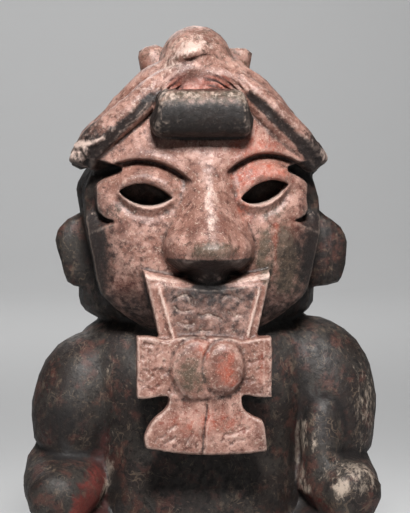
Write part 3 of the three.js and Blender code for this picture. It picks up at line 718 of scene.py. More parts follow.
def evaluated(piece):
    """The piece's mesh with its modifiers applied."""
    graph = bpy.context.evaluated_depsgraph_get()
    return bpy.data.meshes.new_from_object(piece.evaluated_get(graph))


starts = np.cumsum([0] + [len(p) for p, _ in skins[:-1]])
all_points = np.concatenate([p for p, _ in skins])
all_faces = np.concatenate([f + start for (_, f), start in zip(skins, starts)])
clay = bpy.data.objects.new("clay_figure", mesh_of("rough_clay", all_points, all_faces))
bpy.context.scene.collection.objects.link(clay)
fuse = clay.modifiers.new("fuse", "REMESH")
fuse.mode = "VOXEL"
fuse.voxel_size = VOXEL * MM
fused = evaluated(clay)
clay.modifiers.clear()
clay.data = fused
print("fused skin:", len(fused.vertices), "points,", len(fused.polygons), "faces")

# %% [markdown]
# ## Smoothing and surface relief
#
# Now the surface is treated as arrays: points, and the pairs of points that share an edge. A thumb over wet
# clay evens it out, and that is a Laplacian smoothing: each point moves towards the mean of its neighbours.
# The body was smoothed more than the mask, so each point has its own strength. Blender's Smooth modifier
# does the same, but here every point's strength is a formula.

# %% Points and neighbours as arrays, smoothed
EVEN_ROUNDS, BODY_ROUNDS = 3, 26


def read(mesh, what, name, width, kind=np.float32):
    """One property of a mesh's points, edges or corners, as an array with so many numbers for each."""
    data = np.empty(len(getattr(mesh, what)) * width, kind)
    getattr(mesh, what).foreach_get(name, data)
    return data.reshape(-1, width) if width > 1 else data


def smoothed(points, pairs, strength, rounds):
    """Each round moves a point by its strength times the way to the mean of its neighbours."""
    ends = np.concatenate([pairs[:, 0], pairs[:, 1]])
    others = np.concatenate([pairs[:, 1], pairs[:, 0]])
    count = np.bincount(ends, minlength=len(points))[:, None]
    for _ in range(rounds):
        total = np.stack([np.bincount(ends, points[others, k], len(points)) for k in range(3)], 1)
        points = points + strength[:, None] * (total / count - points)
    return points


points = read(fused, "vertices", "co", 3).astype(float) / MM
pairs = read(fused, "edges", "vertices", 2, np.int32)
x, y, z = points.T
face_zone = ease(z, 176, 184) * ease(y, -28, -40) * ease(z, 352, 340)
plate_zone = ease(y, -66, -70) * ease(z, 98, 103) * ease(z, 190, 184)
dress_zone = ease(z, 292, 306)
crisp = np.maximum(face_zone, plate_zone)
points = smoothed(points, pairs, 0.5 * np.ones(len(points)), EVEN_ROUNDS)
body_strength = 0.6 * (1 - np.maximum(crisp, 0.9 * dress_zone))
points = smoothed(points, pairs, body_strength, BODY_ROUNDS)
print("smoothed; crisp share of the points:", round(float(crisp.mean()), 2))

# %% [markdown]
# The relief on top is made of two things. Value noise, random heights on a lattice with soft steps between
# them, gives lumps, dimples and grit at several sizes. Strokes, the distance to a drawn path, give cuts and
# cracks. Both push points along the surface normal.

# %% Noise and strokes
TURN = (0.6, 0.9, 0.4)
TILT = np.array(Euler(TURN).to_matrix())


def noise(p, size, seed):
    """Random heights from -1 to 1 at the corners of a tilted lattice of the given size, softly blended."""
    table = np.random.default_rng(seed).uniform(-1, 1, 8192)
    q = p @ TILT / size + 100
    cell = np.floor(q).astype(np.int64)
    f = q - cell
    f = f * f * (3 - 2 * f)
    total = 0
    for corner in range(8):
        step = np.array([corner & 1, corner >> 1 & 1, corner >> 2])
        at = ((cell + step) * (73856093, 19349663, 83492791)).sum(1) % 8192
        total = total + table[at] * np.prod(np.where(step, f, 1 - f), 1)
    return total


def layered(p, size, seed, layers=3):
    """Noise at the size, at half of it and so on, each layer with half the strength."""
    parts = [noise(p, size / 2**k, seed + k) / 2**k for k in range(layers)]
    return sum(parts) / sum(0.5**k for k in range(layers))


def stroke(p, path, width):
    """A bell of the distance from each point to a path of straight pieces, in x and z."""
    path = np.asarray(path, float)
    near = np.full(len(p), 1e9)
    for a, b in zip(path[:-1], path[1:]):
        along = np.clip(((p - a) @ (b - a)) / ((b - a) @ (b - a)), 0, 1)
        near = np.minimum(near, np.linalg.norm(p - a - along[:, None] * (b - a), axis=1))
    return np.exp(-((near / width) ** 2))


def normals_of(points, faces):
    """Unit normals: the sum of the crossed edges of the faces that meet at each point."""
    a, b, c = (points[faces[:, k]] for k in range(3))
    cross = np.cross(b - a, c - a)
    total = np.stack([sum(np.bincount(faces[:, k], cross[:, axis], len(points)) for k in range(faces.shape[1]))
                      for axis in range(3)], 1)
    return total / np.maximum(np.linalg.norm(total, axis=1, keepdims=True), 1e-9)


corners = read(fused, "loops", "vertex_index", 1, np.int32).reshape(-1, 4)
normals = normals_of(points, corners)
x, y, z = points.T
body = 1 - np.maximum(crisp, dress_zone)
push = body * (0.9 * layered(points, 22, 11) + 0.35 * layered(points, 5, 21, 2))
push += (1 - body) * (0.4 * layered(points, 14, 31) + 0.28 * layered(points, 3.2, 41, 2))
print("relief from", round(float(push.min()), 2), "to", round(float(push.max()), 2), "mm")

# %% [markdown]
# The tool marks come on top. Blade cuts in the tab and the plates, a crackled seam in the left cheek, and
# combed strands down the hood, the ears and the back of the head. Each is either a bell round a short path,
# or a wave across the strands. The band ends and the lump on the right forearm are broken and crusted, which
# is coarse noise there and nowhere else.

# %% Paths of cuts, cracks and folds, as places x and z
CHEEK_SEAM = [(-40.5, 252), (-42, 247), (-39.5, 243), (-42.5, 239), (-40, 235), (-43.5, 231), (-41, 227),
              (-44.5, 223), (-43, 218)]
BROW_NICK = [(51, 291), (58, 287.5), (67, 281.5)]
SCRATCHES = [[(-36, 113.5), (-32.5, 116.5)], [(-31, 117), (-27, 121.5)], [(-28.5, 112.5), (-22, 118)],
             [(-25, 121.5), (-21, 126)], [(-15, 112), (-11, 121)]]
CRACKS = [[(7, 115), (11, 118), (16, 118.5), (20, 121), (25, 122.5)], [(13, 112.5), (18, 115), (23, 115)],
          [(15, 118.5), (18, 122.5), (22, 124)]]
TRACES = [[(-23, 205), (-17, 208), (-12, 206), (-10, 202)], [(-21, 199.5), (-15, 197), (-10, 199)],
          [(-6, 195), (1, 196), (8, 192)], [(-8, 185.5), (-3, 184.5), (2, 185)], [(9, 206), (15, 208), (22, 205)],
          [(-20, 191), (-14, 188.5), (-9, 190)], [(12, 196), (17, 193), (21, 195)]]
HEM = [(-29, 355.5), (-20, 357), (-12, 358.5), (-1, 362), (8, 363.5), (15, 360)]
TORN_RIDGE = [(-84, 303.5), (-76, 305.5), (-67, 308.5)]
TORN_ARMS = [TORN_RIDGE, [(-78.5, 304.5), (-76, 297.5)], [(-84, 300), (-86.5, 293), (-84, 288)]]
TORN_HOLLOW = [(-82, 301), (-78.5, 294), (-77, 288)]
ARM_ARCH = [(65, 104), (66, 119), (71, 131), (80, 137), (90, 133), (95, 123), (97, 110)]
ELBOW_FOLDS = [[(-112, 101), (-96, 97), (-78, 98)], [(90, 100), (102, 96), (116, 93)]]
print("blade marks and cracks:", len(SCRATCHES + CRACKS + TRACES))


# %% Helpers that both the relief and the colours use
def band_across(x, z):
    """Distance square to the way that both bands run, which falls outwards: it grows from their lower edge."""
    return 0.69 * np.abs(x + 2) + 0.72 * z


def crust_patch(spread):
    """A soft ball round the broken lump on the right forearm, a little flattened."""
    return np.exp(-((x - 99) ** 2 + (y + 56) ** 2 + 1.3 * (z - 87) ** 2) / spread)


def gathered(points):
    """Waves from -1 to 1 across arches round the roll, on the two bundles of cloth above it."""
    x, y, z = points.T
    from_arch = np.hypot(x + 2, z - 322)
    where = ease(y, -36, -42) * ease(z, 339, 343) * ease(from_arch, 39, 36) * ease(np.abs(x + 2), 36, 30)
    return where * ease(np.abs(x + 8), 5, 12) * np.sin(1.7 * from_arch + 2 * layered(points, 14, 67, 1))


def unsteady(points):
    """The points' x and z, shifted a little by noise: a straight stroke drawn on them comes out uneven."""
    return points[:, [0, 2]] + 1.6 * np.stack([noise(points, 4, 71), noise(points, 4, 72)], 1)


def marks(p, paths, width):
    """The strongest of several strokes."""
    return np.max([stroke(p, path, width) for path in paths], 0)


flat, bent = points[:, [0, 2]], unsteady(points)
print("strokes are shifted by up to", round(float(np.abs(bent - flat).max()), 1), "mm")

# %% Blade cuts, cracks and pits on the mask and the plates
front = ease(-normals[:, 1], 0.25, 0.55)
on_plates = front * ease(y, -66, -70)
on_face = front * ease(y, -36, -44) * (1 - ease(y, -66, -70))
push += on_face * 0.5 * stroke(flat, CHEEK_SEAM, 1.0) * layered(points, 2.2, 51, 1)
seam_side = on_face * np.exp(-(((x + 44) / 8) ** 2 + ((z - 236) / 20) ** 2))
push += seam_side * (0.9 * np.abs(layered(points, 3.2, 52, 2)) - 0.25)
push -= on_face * 0.5 * stroke(flat, BROW_NICK, 0.6)
for paths, depth, width in ((SCRATCHES, 1.0, 0.8), (CRACKS, 0.9, 0.9), (TRACES, 0.9, 0.9)):
    push -= on_plates * depth * marks(bent, paths, width)
on_wings = on_plates * ease(z, 141, 143) * ease(z, 182, 179) * ease(np.abs(x + 1), 21, 25)
push -= on_wings * 0.9 * ease(layered(points, 3.2, 56, 2), 0.15, 0.5)
print("with blade marks, from", round(float(push.min()), 2), "to", round(float(push.max()), 2), "mm")

# %% Strands, folds, torn ends and crust on the rest
round_head = np.arctan2(x, y - 25)
strands = np.sin(46 * round_head + 1.5 * layered(points, 30, 61, 1))
hair = ease(z, 184, 192) * ease(z, 300, 280) * ease(y, -36, -26) * ease(np.abs(x), 99, 92)
push += 0.45 * strands * hair
ears = ease(np.abs(x), 80, 84) * ease(z, 204, 208) * ease(z, 262, 256) * front
push += 0.4 * np.sin(1.5 * x + 2 * layered(points, 12, 62, 1)) * ears
across = band_across(x, z)
on_bands = ease(z, 284, 290) * ease(np.abs(x), 24, 32) * ease(y, 20, 0) * ease(across, 260, 265)
creases = 0.45 * np.sin(0.52 * across + 1.6 * layered(points, 30, 65, 2))
push += on_bands * (creases + 0.6 * layered(points, 6, 66))
push += (1.5 * marks(bent, TORN_ARMS, 1.5) - 1.6 * stroke(bent, TORN_HOLLOW, 2.2)) * ease(y, -20, -34)
push += 1.3 * gathered(points) - 1.8 * stroke(bent, HEM, 1.6) * ease(y, -20, -30)
stub_top = ease(z, 355, 360) * ease(y, 12, 18) * ease(x, 14, 18)
push += 2.4 * stub_top * layered(points, 6, 68)
push -= 1.3 * stroke(flat, ARM_ARCH, 2.2) * ease(y, -24, -32)
push -= 1.6 * sum(stroke(flat, fold, 2.5) for fold in ELBOW_FOLDS) * ease(y, 6, -6)
band_ends = ease(np.abs(x), 66, 76) * ease(z, 286, 290) * ease(z, 316, 306)
push += 1.1 * layered(points, 7, 63, 3) * band_ends
crust = crust_patch(420)
push += crust * (2.2 * layered(points, 8, 64, 3) + 1.0)
points = points + normals * push[:, None]
print("with all marks, from", round(float(push.min()), 2), "to", round(float(push.max()), 2), "mm")

# %% [markdown]
# The fused skin has far more faces than it needs. The Decimate modifier takes points away where that changes
# least, and a vertex group holds it back on the mask and the plates, where the fine carving is. Smoothing and
# relief may carry a point a hair beyond the solid's box, so the points are held inside it at the end.

# %% Thinning, with the most faces kept on the mask and the plates
MOST_FACES = 190_000
GROUP_WEIGHT = 5e-7
fused.vertices.foreach_set("co", (points * MM).astype(np.float32).ravel())
thinning = clay.vertex_groups.new(name="thin_here")
crest_zone = ease(z, 337, 342) * ease(y, -26, -34) * ease(np.abs(x + 3), 38, 32)
detail = np.max([crisp, crust, 0.5 * dress_zone * ease(y, 10, -10), 0.9 * crest_zone], 0)
for level in range(1, 11):
    chosen = np.nonzero(np.round(10 * (1 - detail)) == level)[0]
    thinning.add([int(i) for i in chosen], level / 10, "REPLACE")
thin = clay.modifiers.new("thin", "DECIMATE")
thin.ratio = MOST_FACES / (2 * len(fused.polygons))
thin.use_collapse_triangulate = True
thin.vertex_group = "thin_here"
thin.vertex_group_factor = GROUP_WEIGHT
finished = evaluated(clay)
clay.modifiers.clear()
clay.vertex_groups.clear()
clay.data = finished
finished.name = "clay_figure"
low_corner, high_corner = np.array([list(corner) for corner in cad_box])
kept_in = np.clip(read(finished, "vertices", "co", 3), low_corner, high_corner)
finished.vertices.foreach_set("co", kept_in.astype(np.float32).ravel())
finished.shade_smooth()
near_mask = kept_in[:, 1] < -50 * MM
print("share of the points on the mask and plates:", round(float(near_mask.mean()), 2))
print("finished skin:", len(finished.vertices), "points,", len(finished.polygons), "faces")

# %% [markdown]
# ## The clay's finish
#
# One material, because it is one clay. What differs from place to place is painted by attributes on the
# points, each a share from 0 to 1, worked out from place, slope and hollowness: the burnished warm mask, the
# darker body, soot and manganese stains, red pigment in the grooves, wear on the ridges, soil in the hollows,
# and painted light as well: painted shade and shadows in hollows, creases and under ledges, and painted
# highlights on ridges and on faces that look up. The shader breaks their borders up with noise.

# %% The finished skin as arrays, and how hollow or sharp it is
points = read(finished, "vertices", "co", 3).astype(float) / MM
pairs = read(finished, "edges", "vertices", 2, np.int32)
triangles = read(finished, "loops", "vertex_index", 1, np.int32).reshape(-1, 3)
normals = normals_of(points, triangles)
x, y, z = points.T
flat, bent = points[:, [0, 2]], unsteady(points)


def keep(name, share):
    """Puts a share, cut to 0..1, on the points as a named attribute."""
    layer = finished.attributes.new(name, "FLOAT", "POINT")
    layer.data.foreach_set("value", np.clip(share, 0, 1).astype(np.float32))
    print(name, "covers", round(100 * float(np.clip(share, 0, 1).mean()), 1), "% of the points")


def outward_shift(rounds):
    """How far smoothing moves a point outwards, in mm: above zero in hollows, below it on edges."""
    moved = smoothed(points, pairs, np.full(len(points), 0.6), rounds) - points
    return np.einsum("ij,ij->i", moved, normals)


def bend(rounds):
    """The shift over the squared edge length and the number of rounds: about one over the radius, per mm."""
    length = ((points[pairs[:, 0]] - points[pairs[:, 1]]) ** 2).sum(1)
    ends = pairs.ravel()
    mean = np.bincount(ends, np.repeat(length, 2)) / np.bincount(ends)
    return outward_shift(rounds) / (0.15 * rounds * mean)


fine, broad = bend(6), np.maximum(outward_shift(40), 0)
print("bends, per mm:", np.round(np.percentile(fine, [1, 50, 99]), 3), "broad:", round(float(broad.max()), 2))

# %% Shares of mask, hollow and edge
up = normals[:, 2]
plates = ease(y, -64, -70) * ease(z, 100, 104) * ease(z, 228, 222)
face = ease(y, -34, -42) * ease(z, 178, 186)
# The roll, the panel of the mouth plate and the outer cheeks are darker than the rest of the mask; on the outer
# and lower cheeks that is painted shade as well as a brown-grey stain.
roll = ease(y, -58, -64) * ease(z, 306, 309) * ease(z, 344, 341) * ease(np.abs(x + 3.5), 37, 34)
in_panel = ease(panel_edge(x, z) - np.abs(x), 0, 4) * ease(z, 178, 182) * ease(z, 215, 212) * plates
cheeks = np.maximum(ease(np.abs(x), 34, 70), ease(z, 240, 205)) * ease(z, 278, 252) * face * (1 - plates)
cheeks = cheeks * ease(-y - mask_sheet(x, z), 6, 3)
mask = np.clip(np.maximum(face, plates) + 0.75 * ease(z, 288, 312), 0, 1)
keep("mask", mask * (1 - 0.45 * roll) * (1 - 0.38 * in_panel) * (1 - 0.42 * cheeks))
# The hollow share darkens creases and hollows: painted shade, with some soil.
keep("hollow", (0.7 * ease(fine, 0.06, 0.4) + 0.4 * broad) * (1 - 0.5 * plates))
keep("edge", ease(-fine, 0.1, 0.4) * (0.35 + 0.65 * np.maximum(plates, ease(z, 300, 312))))

# %% [markdown]
# Stain, pigment and crust lie in patches with no hard border, and so do some patches of painted shade and a
# painted highlight. Each patch is a soft ball in space, which colours whatever surface runs through it, so no
# unwrapping is needed. A row holds its strength, then its middle and its half sizes, both as x, y, z in mm. Left
# and right are the viewer's.

# %% Where the patches of each finish lie
PATCHES = {
    "soot_and_shade": {
        # The two cheek rows are painted shade as well as stain; the belly row is a painted shadow of the plates on
        # the belly.
        "right cheek": (0.4, 52, -55, 232, 24, 24, 26), "left cheek": (0.35, -52, -55, 222, 24, 24, 30),
        "between the brows": (0.32, 1.5, -66, 285, 11, 24, 13), "left arm": (0.5, -95, -20, 122, 22, 40, 16),
        "right band's end": (0.5, 72, -30, 297, 14, 30, 16), "left band": (0.5, -62, -44, 305, 16, 14, 10),
        "left elbow": (0.45, -92, -20, 122, 14, 40, 14), "left forearm": (0.4, -98, -60, 96, 16, 16, 10),
        "belly": (0.5, 0, -50, 90, 60, 40, 40)},
    "green": {
        "right cheek": (0.62, 50, -55, 236, 20, 22, 20), "below it": (0.45, 60, -50, 212, 18, 22, 16),
        "beside the nose": (0.3, 26, -60, 224, 8, 8, 10), "tip of the nose": (0.8, 2, -95, 237, 22, 16, 8),
        "left of the nose": (0.4, -20, -58, 268, 10, 8, 26), "left cheek": (0.4, -55, -52, 262, 16, 12, 10),
        "under the right eye": (0.45, 44, -60, 262, 16, 10, 6), "left disc": (0.8, -13, -90, 157, 13, 9, 16)},
    "red": {
        "over the right eye": (0.58, 38, -58, 284, 27, 12, 14), "forehead": (0.5, 28, -64, 306, 26, 14, 12),
        "right of the nose": (0.5, 24, -60, 262, 7, 20, 14), "right cheek": (0.4, 60, -50, 250, 14, 20, 14),
        "left cheek": (0.4, -55, -55, 210, 20, 16, 18), "right disc's top": (0.5, 14, -92, 170, 8, 8, 8),
        "right disc": (0.6, 8, -92, 158, 7, 8, 9), "right disc's foot": (0.45, 18, -92, 152, 7, 8, 6),
        "left disc's top": (0.6, -4, -90, 173, 7, 8, 6), "left wing": (0.4, -36, -88, 152, 9, 8, 12),
        "right wing": (0.35, 34, -84, 160, 6, 8, 16), "over the knot": (0.35, 0, -80, 180, 40, 8, 4),
        "tab": (0.45, 0, -84, 126, 40, 10, 12), "left arm": (0.25, -108, -10, 150, 14, 40, 30),
        "left elbow": (0.25, -104, -20, 108, 14, 30, 14), "left knee": (0.8, -84, -50, 62, 18, 30, 7),
        "right knee": (0.6, 70, -60, 66, 16, 30, 7), "over the lump": (0.4, 98, -70, 99, 14, 14, 3)},
    "pale": {
        # The crest row is a painted highlight on the top of the knot.
        "left shoulder": (0.2, -66, -34, 152, 16, 14, 26), "right arm": (0.42, 112, -20, 130, 12, 30, 36),
        "crest": (0.35, -9, -46, 371, 10, 16, 6), "forehead": (0.3, -4, -62, 303, 26, 16, 7)},
}


def patches(finish):
    """The sum of the finish's soft balls: strength times e to the minus squared share of the half sizes."""
    rows = np.array(list(PATCHES[finish].values()), float)
    return sum(row[0] * np.exp(-(((points - row[1:4]) / row[4:]) ** 2).sum(1)) for row in rows)


print("patches:", {finish: len(rows) for finish, rows in PATCHES.items()})

# %% [markdown]
# Some finishes follow the forms. Soot and manganese stains lie in patches and on the roll; the same dark share
# also holds painted shade: a painted shadow under the nose and across the top of the mouth plate, and painted
# darkening in the notches and slits, under the brows and the bands, round the discs, in the folds and creases,
# and on the sides and lower part of the face. The grey-green of long burial lies on the roll and the cheeks.
# The measures that shaped the mask are asked again here, so the colour sits exactly where the form is.

# %% Soot, painted shade and grey-green stain
TAB_LINE = [(-1.4, 138), (-2.2, 130), (-3.9, 118), (-4.6, 104)]
GREEN_STREAKS = (([(38, 246), (36, 232), (40, 214)], 3.5), ([(52, 248), (55, 230), (52, 212)], 5))
# The brow term darkens the strip under each brow's edge: painted shade, with some dark pigment.
below_brow = brow_line(x) - z
brow = (hump(below_brow, 1.6, 2.2) + 0.45 * hump(below_brow, 4, 5)) * face
brow = brow * ease(np.abs(x - NOSE_X), 10, 20) * ease(z, 280, 284)
# The next lines paint the shadow that the nose casts, under it and across the top of the mouth plate.
under_nose_shadow = ease(z, 233.5, 230) * ease(z, 208, 212) * ease(-y - mask_sheet(x, z), 1, 4) * face
under_nose_shadow = under_nose_shadow * ease(np.abs(x - NOSE_X) - nose_half(z), 3, -4)
under_nose_shadow += ease(np.abs(x - 2), 24, 14) * ease(z, 212, 215) * ease(z, 224, 220) * ease(-up, -0.3, 0.1)
# The notches and the slits are darkened as painted shade; the slits' black stands for the dark hollow behind them.
in_notch = notches(x, z) / NOTCH["depth"] * face * ease(z, 254, 262)
in_slit = ease(eye_gap(x, z), -0.2, 0.5) * face
across = band_across(x, z)
# The strip along the lower side of each band is darkened as painted shade.
band_side = ease(y, -12, -24) * ease(z, 290, 296) * ease(z, 350, 340) * ease(np.abs(x), 22, 30)
band_side = band_side * ease(across, 259, 262) * ease(across, 271, 265) * ease(z, 345, 335)
# The grooves round the discs are darkened as painted shade.
left_rim = hump(off_groove(x, z, LEFT_DISC), 0, 1.8) * ease(x, 4, -2)
right_rim = hump(off_groove(x, z, RIGHT_DISC), 0, 1.5)
rims = plates * np.maximum(left_rim, right_rim) * ease(z, 138, 142) * ease(z, 184, 178)
tab_line = stroke(flat, TAB_LINE, 0.8)
# The recess under the crest's fold is darkened as painted shade; its red is pigment.
recess = ease(np.abs(x + 4), 27, 15) * ease(z, 338, 341) * ease(z, 354, 347) * ease(y, -28, -36)
soot_and_shade = patches("soot_and_shade") + roll * (0.25 + 0.95 * ease(z, 336, 324)) + 0.3 * brow + 1.1 * under_nose_shadow
# The sides of the mask are darkened as painted shade, with some stain.
soot_and_shade += 0.9 * in_notch + 1.5 * in_slit + 0.65 * ease(np.abs(x), 56, 76) * face + 0.9 * band_side
soot_and_shade += 0.45 * rims + 0.5 * plates * np.maximum(tab_line, 0.3 * marks(bent, CRACKS, 0.9))
# The hem and the valleys of the gathers are darkened as painted shade in their creases.
soot_and_shade += 0.5 * stroke(bent, HEM, 1.5) * ease(y, -20, -30) + 0.3 * np.maximum(-gathered(points), 0)
# The recess and the cheeks take painted shade; the panel takes a brown stain, with the nose's painted shadow at
# its top middle.
soot_and_shade += 0.45 * recess + in_panel * (0.42 + 0.3 * hump(z, 212, 14) * hump(x, 2, 26)) + 0.25 * cheeks
# The arch on the right arm, the lower face and the elbow folds are darkened as painted shade.
soot_and_shade += 0.8 * stroke(flat, ARM_ARCH, 3) * ease(y, -22, -30) + 0.3 * ease(z, 216, 190) * face * (1 - plates)
soot_and_shade += 0.8 * sum(stroke(flat, fold, 4) for fold in ELBOW_FOLDS) * ease(y, 8, -4)
keep("soot_and_shade", soot_and_shade)
green = patches("green") + 0.6 * roll + 0.35 * ease(z, 345, 360)
for path, width in GREEN_STREAKS:
    green += 0.5 * face * stroke(bent, path, width)
keep("green", green)

# %% [markdown]
# Red pigment survives where nothing rubbed it: in the crest's recess, on the arm's inner side, and in a
# streak down the cheek. The groove on the left is narrow at the top and flares towards the elbow. The pale coat
# is the last: a crust of soil and roots on torn ridges, in scratches and along the edges of the arms, and
# painted highlights on the lid rims, the plate's lip and frame, the nose's ridge, the notch ledges and the crest.

# %% Red pigment
ARM_HOLLOW = [(63, 120), (66, 96), (66, 74)]
ELBOW_TOP = [(70, 128), (80, 137), (92, 131)]
RED_STREAK = [(45, 252), (46, 238), (44, 222)]
flare = 1.5 + 12.5 * np.clip((124 - z) / 56, 0, 1) ** 1.3
groove = ease(np.abs(x + 62 + flare), flare + 1.5, flare - 2.5) * ease(z, 128, 121) * ease(z, 50, 58)
in_hollows = 0.62 * groove + 0.5 * stroke(flat, ARM_HOLLOW, 3.5)
red = patches("red") + in_hollows * ease(y, 10, -14) + 0.7 * recess
red += 0.35 * stroke(flat, ELBOW_TOP, 3) + 0.4 * face * stroke(bent, RED_STREAK, 2.2)
keep("red", red)

# %% Pale crust and painted highlights
CREST_FOLD = [(-24, 354), (-14, 364), (-3, 368)]
LEFT_ARM_EDGE = [(-61, 114), (-62, 95), (-63, 80), (-70, 63)]
LUMP_EDGE = [(77.5, 86), (80, 80.5), (87, 77)]
RIGHT_ARM_EDGE, RIGHT_ARM_LINE = [(67, 118), (65, 96), (68, 74)], [(75, 120), (73, 104), (74, 90)]
# Painted highlights follow: the lower lid rims, the upper edge of the mouth plate, the ridge round its panel, the
# nose's ridge, the notch ledges and the crest's fold are made pale where light catches them; the lid rims and the
# nose's ridge are partly worn pale as well.
lower_lids = hump(eye_gap(x, z), -0.1, 0.55) * face * ease(up, -0.1, 0.3)
lip = ease(z, 212, 220) * plates * ease(up, 0.25, 0.7)
frame_ridge = hump(np.abs(x) - panel_edge(x, z), 0, 1.3) * plates * ease(z, 214, 210) * ease(z, 178, 181)
wing_cuts = (hump(x, -43.2, 0.6) + hump(x, -40.6, 0.6)) * ease(z, 156, 166) * ease(z, 184, 181)
nose_ridge = hump(x, NOSE_X, 5.5) * ease(z, 243, 252) * ease(z, 290, 274) * face
pale = patches("pale") + 0.5 * crust_patch(380) + 0.4 * roll * ease(z, 330, 337) + 1.2 * lower_lids
pale += 0.9 * in_notch * ease(up, 0.2, 0.6) + 0.7 * lip + 0.6 * frame_ridge + 0.5 * nose_ridge
pale += 0.5 * plates * (marks(bent, SCRATCHES + TRACES, 0.8) + wing_cuts)
pale += 0.4 * stroke(flat, CREST_FOLD, 3) + 0.6 * stroke(flat, TORN_RIDGE, 2)
pale += 0.8 * stroke(flat, LEFT_ARM_EDGE, 2.2) * ease(y, 4, -16)
pale += 0.7 * stroke(flat, LUMP_EDGE, 1.8) * ease(y, -60, -66)
pale += 0.55 * stroke(bent, RIGHT_ARM_EDGE, 3) + 0.4 * stroke(bent, RIGHT_ARM_LINE, 2) * ease(y, 0, -20)
# The top of the crest, where it faces up, is made pale as a painted highlight; the band tips are crust.
crest_top = ease(z, 335, 352) * ease(up, -0.2, 0.5)
band_tips = ease(np.abs(x), 72, 80) * ease(z, 290, 296) * ease(z, 312, 304)
pale += 0.25 * crest_top + 0.5 * band_tips
keep("pale", pale * (1 - recess))

# %% [markdown]
# The shader itself: a few helpers that add nodes, then one layer after another, from the clay up to the
# crust. A painted picture would need an unwrapped surface and would blur close up, so every pattern is worked
# out from Object coordinates. They are in metres, so a grain of 3 mm has a scale of 1000 / 3.

# %% The material, and helpers for its patterns
clay_look = bpy.data.materials.new("fired_clay")
clay_look.use_nodes = True
tree = clay_look.node_tree
shader = tree.nodes["Principled BSDF"]
place = tree.nodes.new("ShaderNodeTexCoord").outputs["Object"]


def feed(socket, value):
    """Links a socket, or sets a plain value."""
    if isinstance(value, bpy.types.NodeSocket):
        tree.links.new(value, socket)
    else:
        socket.default_value = value


def grain(size, detail, rough=0.55, warp=0.0, upright=1.0):
    """Noise from 0 to 1 with lumps of a size in mm, drawn out upwards when upright is below 1."""
    squeezed = tree.nodes.new("ShaderNodeVectorMath")
    squeezed.operation = "MULTIPLY"
    feed(squeezed.inputs[0], place)
    squeezed.inputs[1].default_value = (1, 1, upright)
    turned = tree.nodes.new("ShaderNodeVectorRotate")
    turned.rotation_type = "EULER_XYZ"
    feed(turned.inputs["Vector"], squeezed.outputs[0])
    turned.inputs["Rotation"].default_value = TURN
    made = tree.nodes.new("ShaderNodeTexNoise")
    feed(made.inputs["Vector"], turned.outputs[0])
    given = {"Scale": 1 / (size * MM), "Detail": detail, "Roughness": rough, "Distortion": warp}
    for socket, value in given.items():
        made.inputs[socket].default_value = value
    return made.outputs[0]


def cells(size):
    """Distance to the nearest of scattered points with a spacing in mm, read at places that noise shifts."""
    made = tree.nodes.new("ShaderNodeTexVoronoi")
    bend = tree.nodes.new("ShaderNodeVectorMath")
    bend.operation = "MULTIPLY_ADD"
    wobble = tree.nodes.new("ShaderNodeTexNoise")
    feed(wobble.inputs["Vector"], place)
    wobble.inputs["Scale"].default_value = 2.2 / (size * MM)
    feed(bend.inputs[0], wobble.outputs[1])
    bend.inputs[1].default_value = (0.45 * size * MM,) * 3
    feed(bend.inputs[2], place)
    feed(made.inputs["Vector"], bend.outputs[0])
    made.inputs["Scale"].default_value = 1 / (size * MM)
    return made.outputs["Distance"]


print("patterns ready; nodes so far:", len(tree.nodes))

# %% [markdown]
# Patterns and painted shares are numbers, so they can be multiplied, stepped and laid over one another. A
# border cut straight from a share would be too smooth: `ragged` adds noise to the share before the step.


# %% Helpers for sums, steps and layers
def maths(operation, a, b=0.0):
    """A sum, product or other plain operation on two shares."""
    made = tree.nodes.new("ShaderNodeMath")
    made.operation = operation
    feed(made.inputs[0], a)
    feed(made.inputs[1], b)
    return made.outputs[0]


def times(a, b):
    """The product of two shares."""
    return maths("MULTIPLY", a, b)


def span(value, low, high, start=0.0, end=1.0):
    """A soft step of a value from low to high, which gives start to end."""
    made = tree.nodes.new("ShaderNodeMapRange")
    made.interpolation_type = "SMOOTHSTEP"
    for socket, given in zip(made.inputs, (value, low, high, start, end)):
        feed(socket, given)
    return made.outputs[0]


def over(below, colour, share):
    """A colour laid over another by a share."""
    made = tree.nodes.new("ShaderNodeMix")
    made.data_type = "RGBA"
    for socket, given in ((0, share), (6, below), (7, colour)):
        feed(made.inputs[socket], given)
    return made.outputs[2]


def share_of(name):
    """The share that the named attribute holds at each point."""
    made = tree.nodes.new("ShaderNodeAttribute")
    made.attribute_name = name
    return made.outputs["Fac"]


def ragged(name, noise, spread, soft):
    """A share whose border is broken up: noise moves the place where it turns on."""
    lifted = maths("ADD", share_of(name), times(maths("SUBTRACT", noise, 0.5), spread))
    return span(lifted, 0.5 - soft, 0.5 + soft)


def lines(noise, outer, inner):
    """Thin lines where a noise crosses its middle value: 0 at the outer distance from it, 1 at the inner."""
    return span(maths("ABSOLUTE", maths("SUBTRACT", noise, 0.5)), outer, inner)


def coats(below, *layers):
    """Layers of (colour, share) laid one over another."""
    for colour, share in layers:
        below = over(below, CLAY[colour] if isinstance(colour, str) else colour, share)
    return below


def tone(red, green, blue):
    """A colour from its values as seen on a screen, 0 to 255, to the linear values that the shader wants."""
    return (*(((v / 255 + 0.055) / 1.055) ** 2.4 for v in (red, green, blue)), 1)


print("helpers ready; nodes so far:", len(tree.nodes))

